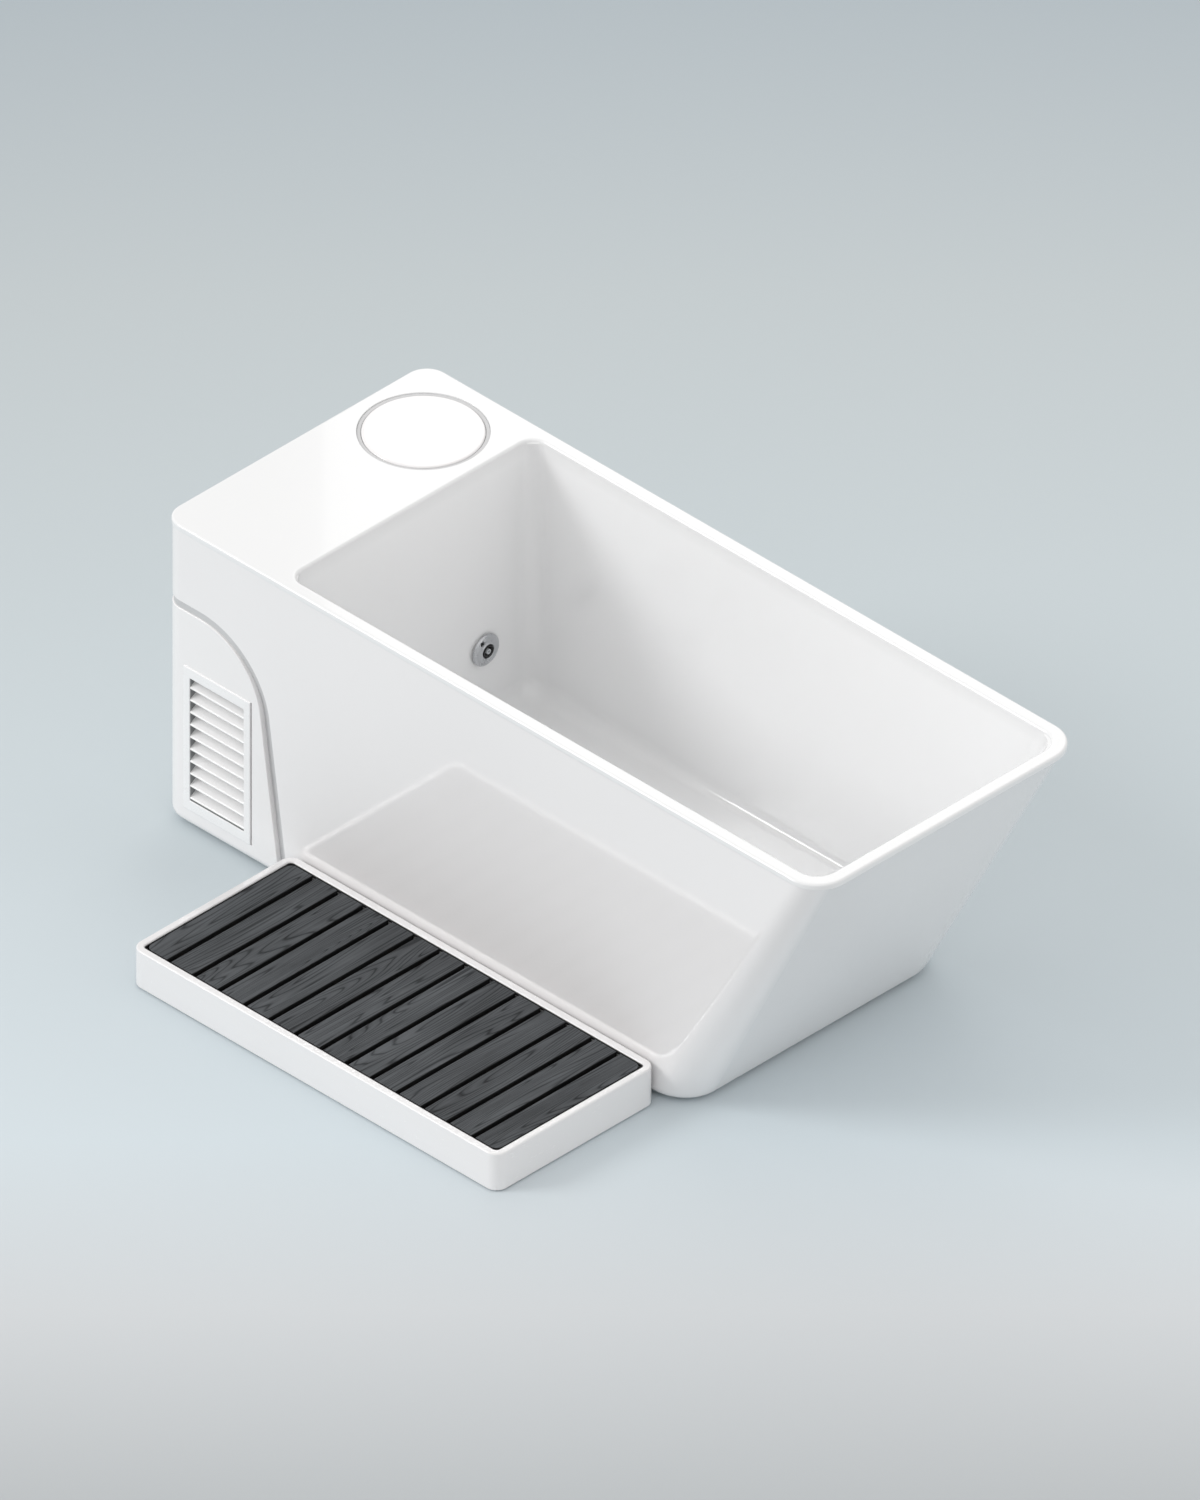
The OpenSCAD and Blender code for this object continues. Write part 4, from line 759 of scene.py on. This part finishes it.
def raked_rows():
    """Rings of the shell's half beyond the split, from the front round the raked end."""
    bend_z = SHELL_Z0 + END_HEM_R * (1 - math.sin(RAKE))
    centre = raked(TUB_L - END_IN, bend_z) - END_HEM_R * math.cos(RAKE)
    rows = []
    for t in TROWS:
        inset, z, _ = hem(t, HEM_R)
        if z >= bend_z:
            x1 = raked(TUB_L - END_IN, z)
        else:
            reach = math.sqrt(max(END_HEM_R ** 2 - (SHELL_Z0 + END_HEM_R - z) ** 2, 0))
            x1 = centre + reach - max(inset - HEM_R, 0)
        r = END_R[0] + END_R[1] * (TUB_H - z) / TUB_H - inset * 0.8
        front, back = WALL_IN + inset, TUB_W - WALL_IN - inset
        row = ring(WALL_IN, x1, front, back, SHELL_R, r, z, stretch=END_STRETCH)
        quarter = len(row) // 4
        row = row[quarter:3 * quarter]
        turn_x = min(TURN_X, row[0][0] - 8)
        start = [(SPLIT_X, front, z), (turn_x, front, z)]
        end = [(turn_x, back, z), (SPLIT_X, back, z)]
        rows.append(start + row + end)
    return rows


def shell():
    """The tub's wall up to the seam, with the seam's channel and the strip at its bottom."""
    skin = Skin()
    profile = edge_profile(1)
    inner = [lambda half, deep: (half, deep - 1.0), lambda half, deep: (half - 0.4, deep - 0.3),
             lambda half, deep: (half - 1.4, deep), lambda half, deep: (-half - 3.5, deep)]
    rows = sheet_rows(profile + inner)
    skin.loft(rows, closed=False)
    edge = [(s, t) for s, t, _ in seam_row(profile[0])]
    end = side(SPLIT_X)
    left = [(-end, t) for t in TROWS]
    right = [(end, t) for t in TROWS[::-1]]
    skin.fill(edge + left + right, [], wrap, plain_lines(end + 5))
    skin.loft(raked_rows(), closed=False)
    # Painted shade: a grey strip along the floor of the seam's channel darkens the channel.
    strip = Skin()
    strip.loft(sheet_rows([lambda half, deep: (half - 1.8, deep - 0.9),
                           lambda half, deep: (0, deep - 1.1),
                           lambda half, deep: (-half - 2.6, deep - 0.9)]), closed=False)
    shade_band = strip.piece("seam_strip", "tub", SEAM_GREY, thick=0.5)
    piece = skin.piece("shell_body", "tub", ACRYLIC, thick=SHELL_T)
    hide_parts("outer_shell")


# Louvred grilles
def grille(name, node, turn):
    """A louvred grille, drawn in the front wall, and the duct behind it."""
    skin = Skin()
    face = WALL_IN - VENT_PROUD

    def frame_ring(out, y, bar=False):
        x0, x1 = VENT_X - VENT_W / 2 + out, VENT_X + VENT_W / 2 - out
        z0, z1 = VENT_Z - VENT_H / 2 + out, VENT_Z + VENT_H / 2 - out
        if bar:
            x0, x1, z0, z1 = x0 + VENT_BAR, x1 - VENT_BAR, z0 + VENT_END_BAR, z1 - VENT_END_BAR
        flat = ring(x0, x1, z0, z1, max(2.5 - out, 0.6), max(2.5 - out, 0.6), steps=3)
        return [(x, y, z) for x, z, _ in flat]

    deep = face + BLADE_D + 2
    outside = [(0, WALL_IN), (0, face + 1.2), (0.25, face + 0.6), (0.9, face + 0.15), (1.8, face),
               (3.2, face)]
    inside_bar = [(-2.8, face), (-1.4, face), (-0.6, face + 0.25), (-0.15, face + 0.8), (0, face + 1.6),
                  (0, face + 2.6), (-2.6, face + 2.6), (-2.6, WALL_IN)]
    rows = [frame_ring(out, y) for out, y in outside]
    rows += [frame_ring(out, y, bar=True) for out, y in inside_bar]
    skin.loft(rows + rows[:1], flip=True)
    open_w = VENT_W - 2 * VENT_BAR
    open_h = VENT_H - 2 * VENT_END_BAR
    pitch = open_h / BLADES
    slope = math.tan(BLADE_RISE)
    for i in range(BLADES):
        z = VENT_Z - open_h / 2 + i * pitch + BLADE_T
        y = face + 1.4
        half = BLADE_T / 2
        nose = [(y + half + half * math.cos(a), z + half * math.sin(a))
                for a in [BLADE_RISE + math.radians(v) for v in range(90, 271, 20)]]
        tail = [(y + BLADE_D, z + BLADE_D * slope - half),
                (y + BLADE_D, z + BLADE_D * slope + half * 0.6)]
        sides = (VENT_X - open_w / 2 - 1, VENT_X + open_w / 2 + 1)
        ends = [[(x, py, pz) for py, pz in nose + tail] for x in sides]
        caps = [[(row[0][0], y + 6, z + 6 * slope)] * len(row) for row in ends]
        skin.loft(caps[:1] + ends + caps[1:])
    piece = skin.piece(name, "cover", GRILLE_WHITE, turn=turn)
    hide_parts(node)
    # Painted shade: the duct's sleeve is dark grey, which darkens the openings between the blades.
    sleeve = Skin()
    section = [(0, face + 2.4), (0, deep), (-2.4, deep), (-2.4, face + 2.8)]
    walls = [frame_ring(out, y, bar=True) for out, y in section]
    sleeve.loft(walls + walls[:1], flip=True)
    duct = sleeve.piece(name + "_sleeve", "cover", SLEEVE_GREY, turn=turn)


def lid():
    """The hatch's lid: a disc with a rounded edge over a skirt that drops into the recess."""
    skin = Skin()
    under = TUB_H - LID_T
    rows = [disc(LID_R - 6, under), disc(LID_R - 1, under), disc(LID_R, under + 1),
            disc(LID_R, TUB_H - LID_EDGE)]
    rows += [disc(LID_R - back, TUB_H - down) for back, down in edge_round(LID_EDGE)[1:]]
    rows.append(disc(LID_R - LID_EDGE - SUPPORT, TUB_H))
    skin.loft(rows)
    skin.fill([p[:2] for p in rows[-1]], [], lambda x, y: (x, y, TUB_H))
    skirt_r = LEDGE_R - SKIRT_GAP
    skirt_in = skirt_r - SKIRT_T
    foot = under - SKIRT_H

    def level(x, y):
        return x, y, under

    skin.fill([p[:2] for p in rows[0]], [[p[:2] for p in disc(skirt_r, 0)]], level, flip=True)
    skirt = [disc(skirt_in, under), disc(skirt_in, foot + 0.6), disc(skirt_in + 1, foot),
             disc(skirt_r - 1, foot), disc(skirt_r, foot + 0.6), disc(skirt_r, under)]
    skin.loft(skirt)
    skin.fill([p[:2] for p in skirt[0]], [], level, flip=True)
    piece = skin.piece("hatch_disc", "hatch", ACRYLIC)
    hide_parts("hatch_lid")


# Jet
def turned(profile, steps=64):
    """Rows about the jet's axis, from (radius, distance from the wall) pairs."""
    rows = []
    for r, x in profile:
        rows.append([(JET_X + x, JET_Y + r * math.cos(2 * math.pi * i / steps),
                      JET_Z + r * math.sin(2 * math.pi * i / steps)) for i in range(steps)])
    return rows


def jet():
    """The face ring, the ball in it and the ball's nozzle cap, with a dark block on the ring that paints
    the shade of a notch and a pale block beside it that paints the notch's highlight.
    """
    face = Skin()
    section = [(15.2, 5), (15.2, 12.4), (15.8, 13.4), (17.2, 13.8), (18.4, 13.2), (19.2, 12.2),
               (27, 11.0), (28, 10.9), (28.8, 10.2), (29.6, 10.6), (32.6, 9.9), (34.8, 8.6),
               (35.8, 7.2), (36, 5.8), (36, 4.6), (15.2, 4.6), (15.2, 5)]
    face.loft(turned(section))
    ring_piece = face.piece("jet_face_ring", "jet_face", METAL, sharp=CRISP)
    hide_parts("jet_ring")
    # Painted shade and highlight: a dark block where the ring's notch is, and a pale block beside it for
    # the notch's highlight.
    a = math.radians(NOTCH_AT)
    cy, cz = JET_Y + NOTCH_R * math.cos(a), JET_Z + NOTCH_R * math.sin(a)
    notch = Skin()
    notch.box((JET_X + 8, cy - 2.2, cz - 4.5), (JET_X + 11.6, cy + 2.2, cz + 4.5), 0.8)
    notch_shade = notch.piece("jet_notch_shade", "jet_face", DARK)
    glint_block = Skin()
    glint_block.box((JET_X + 8, cy + 2.6, cz - 2.5), (JET_X + 12.4, cy + 5.6, cz + 5.5), 0.8)
    shine = glint_block.piece("jet_notch_glint", "jet_face", PALE_CAP)
    ball = Skin()
    centre = BALL_OUT
    profile = [(6, centre - 14.8)]
    for v in span(-68, 22, 10):
        turn = math.radians(v)
        profile.append((BALL_R * math.cos(turn) - 1.3, centre + BALL_R * math.sin(turn)))
    profile += [(12.4, centre + 6.2), (11.2, centre + 4.6), (9.4, centre + 4.2), (9.4, centre - 6),
                (6, centre - 6)]
    ball.loft(turned(profile + profile[:1]))
    eye = ball.piece("jet_ball", "jet_eye", DARK, sharp=CRISP)
    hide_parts("jet_eyeball")
    cap = Skin()
    section = [(2.8, centre - 4), (2.8, centre + 5.6), (3.2, centre + 6.2), (4.8, centre + 6.3),
               (5.7, centre + 5.8), (6.0, centre + 5.0), (6.0, centre - 4), (2.8, centre - 4)]
    cap.loft(turned(section, steps=40))
    nose = cap.piece("jet_nozzle", "jet_eye", PALE_CAP, sharp=CRISP)


# Step
def step_frame():
    """The step's white surround, as one section swept round, and a black band inside it that paints the
    shade in the gap round the planks.
    """
    skin = Skin()
    top = STEP_H

    def row(inset, z):
        return ring(STEP_X0 + inset, STEP_X1 - inset, STEP_Y0 + inset, STEP_Y1 - inset,
                    max(STEP_R - inset, 3), max(STEP_R - inset, 3), z)

    path = [(2.0, STEP_Z0), (0.6, STEP_Z0 + 0.6), (0, STEP_Z0 + 2)]
    path += [(back, top - down) for back, down in edge_round(STEP_EDGE)]
    path.append((STEP_EDGE + 1.5, top))
    path.append((STEP_BAR - STEP_EDGE - 1.5, top))
    path += [(STEP_BAR - back, top - down) for back, down in edge_round(STEP_EDGE)[::-1]]
    path += [(STEP_BAR, STEP_Z0 + FLANGE_T), (FLANGE_W, STEP_Z0 + FLANGE_T), (FLANGE_W, STEP_Z0),
             (2.0, STEP_Z0)]
    skin.loft([row(i, z) for i, z in path])
    # Painted shade: a black band on the frame's inner face, from just under the top down, darkens the gap
    # round the planks.
    shade_band = Skin()
    section = [(STEP_BAR - 0.4, top - 9), (STEP_BAR - 0.4, top - GAP_SHADE_SINK),
               (STEP_BAR + 2.4, top - GAP_SHADE_SINK), (STEP_BAR + 2.4, top - 9)]
    loops = [row(i, z) for i, z in section]
    shade_band.loft(loops + loops[:1])
    shade_band.piece("plank_gap_shade", "step", GAP_SHADE_BLACK)
    piece = skin.piece("step_surround", "step", STEP_WHITE)
    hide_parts("step_frame")


def planks():
    """The planks side by side; the first and the last have the frame's inner corners."""
    room = STEP_X1 - STEP_X0 - 2 * (STEP_BAR + PLANK_END)
    pitch = (room + PLANK_GAP) / PLANK_COUNT
    width = pitch - PLANK_GAP
    z1 = STEP_H - PLANK_SINK
    z0 = z1 - PLANK_T
    y0 = STEP_Y0 + STEP_BAR + PLANK_END
    y1 = STEP_Y1 - STEP_BAR - PLANK_END
    section = [(0.8, z0), (0, z0 + 0.8), (0, z1 - 1.8), (0.25, z1 - 0.9), (0.9, z1 - 0.25), (1.8, z1),
               (3.0, z1)]
    for i in range(PLANK_COUNT):
        x0 = STEP_X0 + STEP_BAR + PLANK_END + i * pitch
        r0 = PLANK_R if i == 0 else PLANK_EDGE
        r1 = PLANK_R if i == PLANK_COUNT - 1 else PLANK_EDGE
        skin = Skin()
        rows = []
        for inset, z in section:
            rows.append(ring(x0 + inset, x0 + width - inset, y0 + inset, y1 - inset,
                             max(r0 - inset, 0.5), max(r1 - inset, 0.5), z, steps=8))
        skin.loft(rows)
        skin.fill([p[:2] for p in rows[-1]], [], lambda x, y: (x, y, z1))
        skin.fill([p[:2] for p in rows[0]], [], lambda x, y: (x, y, z0), flip=True)
        piece = skin.piece(f"plank_{i + 1:02d}", "step", WOOD)
        mark = piece.data.attributes.new("plank", "FLOAT_VECTOR", "POINT")
        for k in range(len(mark.data)):
            mark.data[k].vector = (i * 0.37, i * 0.61, i * 0.23)
        if i == 0:
            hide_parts("step_planks")


def dress_frame():
    """Gives each CAD piece that stays its finish, and most of them softened edges."""
    slots = {row["node"]: row["material_slot"] for row in frame["record"]["subparts"]}
    for name, piece in frame["nodes"].items():
        if piece.hide_render:
            continue
        slot = slots[name]
        finish = SLOT_FINISH.get(slot, GRILLE_WHITE if slot == "grille_white" else ACRYLIC)
        piece.data.materials.clear()
        piece.data.materials.append(finish)
        if slot not in ("foam", "filter_paper", "coil_aluminium"):
            soft = piece.modifiers.new("edges", "BEVEL")
            soft.width = 0.0007
            soft.segments = 2
            soft.limit_method = "ANGLE"
            soft.angle_limit = math.radians(40)


# Floor, light and camera
def backdrop():
    """A pale floor whose tone runs from front to back, as the photograph's ground does."""
    size = 30.0
    corners = [(-size, -size, 0), (size, -size, 0), (size, size, 0), (-size, size, 0)]
    mesh = bpy.data.meshes.new("floor")
    mesh.from_pydata(corners, [], [(0, 1, 2, 3)])
    floor = bpy.data.objects.new("floor", mesh)
    bpy.context.collection.objects.link(floor)
    material = bpy.data.materials.new("floor_paint")
    tree, shader = nodes_of(material)
    place = places(tree)
    split = tree.nodes.new("ShaderNodeVectorMath")
    split.operation = "DOT_PRODUCT"
    split.inputs[1].default_value = (-0.7071, 0.7071, 0)
    tree.links.new(place, split.inputs[0])
    span_map = tree.nodes.new("ShaderNodeMapRange")
    span_map.inputs["From Min"].default_value = -1.9
    span_map.inputs["From Max"].default_value = 3.4
    tree.links.new(split.outputs["Value"], span_map.inputs["Value"])
    # The tones paint light and shade across the floor: darker in front and at the far back, with a lighter
    # band between.
    tones = [(0.0, (0.48, 0.505, 0.52)), (0.14, (0.64, 0.665, 0.685)), (0.25, (0.66, 0.73, 0.77)),
             (0.54, (0.58, 0.638, 0.665)), (0.8, (0.515, 0.56, 0.578)), (1.0, (0.425, 0.475, 0.508))]
    tint = ramp(tree, span_map.outputs["Result"], tones)
    tree.links.new(tint, shader.inputs["Base Color"])
    shader.inputs["Roughness"].default_value = 0.8
    shader.inputs["Specular IOR Level"].default_value = 0.1
    mesh.materials.append(material)


def lights():
    """An even studio world, a broad soft key from the left and a softbox behind."""
    world = bpy.data.worlds.new("studio")
    bpy.context.scene.world = world
    world.use_nodes = True
    tree = world.node_tree
    paths = tree.nodes.new("ShaderNodeLightPath")
    seen = paths.outputs["Is Camera Ray"]
    for ray in ("Is Glossy Ray", "Is Transmission Ray"):
        either = tree.nodes.new("ShaderNodeMath")
        either.operation = "MAXIMUM"
        tree.links.new(seen, either.inputs[0])
        tree.links.new(paths.outputs[ray], either.inputs[1])
        seen = either.outputs["Value"]
    amount = tree.nodes.new("ShaderNodeMapRange")
    amount.inputs["To Min"].default_value = WORLD_LIGHT
    amount.inputs["To Max"].default_value = WORLD_SEEN
    tree.links.new(seen, amount.inputs["Value"])
    sky = tree.nodes["Background"]
    sky.inputs["Color"].default_value = (1.0, 0.995, 0.985, 1)
    tree.links.new(amount.outputs["Result"], sky.inputs["Strength"])

    key = bpy.data.lights.new("key", "SUN")
    key.energy = KEY_LIGHT
    key.angle = math.radians(KEY_ANGLE)
    key_object = bpy.data.objects.new("key", key)
    direction = Vector(KEY_FROM).normalized()
    key_object.rotation_euler = direction.to_track_quat("Z", "Y").to_euler()
    key_object.location = direction * 5
    bpy.context.collection.objects.link(key_object)

    # A softbox behind, whose mirror image lies on the rim and ends along an upright line on the deck
    across = Vector((1, 1, 0)).normalized()
    along = Vector((1, -1, 2)).normalized()
    away = Vector((-1, 1, 1)).normalized()
    low, high = (-0.433, 1.5), (-0.3, 1.3)
    box = bpy.data.lights.new("softbox", "AREA")
    box.shape = "RECTANGLE"
    box.size = low[1] - low[0]
    box.size_y = high[1] - high[0]
    box.energy = SOFTBOX_LIGHT * math.pi * box.size * box.size_y
    box_object = bpy.data.objects.new("softbox", box)
    place = across * sum(low) / 2 + along * sum(high) / 2 + away * 4.5
    turn = Matrix((across, along, away)).transposed()
    box_object.matrix_world = Matrix.Translation(place) @ turn.to_4x4()
    bpy.context.collection.objects.link(box_object)


def camera():
    """An isometric view with the photograph's framing, worked out from the rim's front corner."""
    scale = 0.50214
    frame_h = 1500
    right = Vector((1, 1, 0)).normalized()
    up = Vector((-1, 1, 2)).normalized()
    back = Vector((1, -1, 1)).normalized()
    corner = at((0, 0, TUB_H))
    corner_u, corner_v = 160.65, 515.05
    aim = corner + right * ((600 - corner_u) / scale * MM) + up * ((corner_v - 750) / scale * MM)
    lens = bpy.data.cameras.new("view")
    lens.type = "ORTHO"
    lens.ortho_scale = frame_h / scale * MM
    lens.clip_end = 60
    eye = bpy.data.objects.new("view", lens)
    eye.location = aim + back * 8
    eye.rotation_euler = back.to_track_quat("Z", "Y").to_euler()
    bpy.context.collection.objects.link(eye)
    bpy.context.scene.camera = eye


camera()
basin()
shell()
service_cover()
grille("front_louvre", "front_grille", None)
grille("rear_louvre", "rear_grille", lambda p: (2 * VENT_X - p[0], TUB_W - p[1], p[2]))
lid()
jet()
step_frame()
planks()
dress_frame()
backdrop()
lights()
bpy.context.scene.view_settings.view_transform = "Standard"
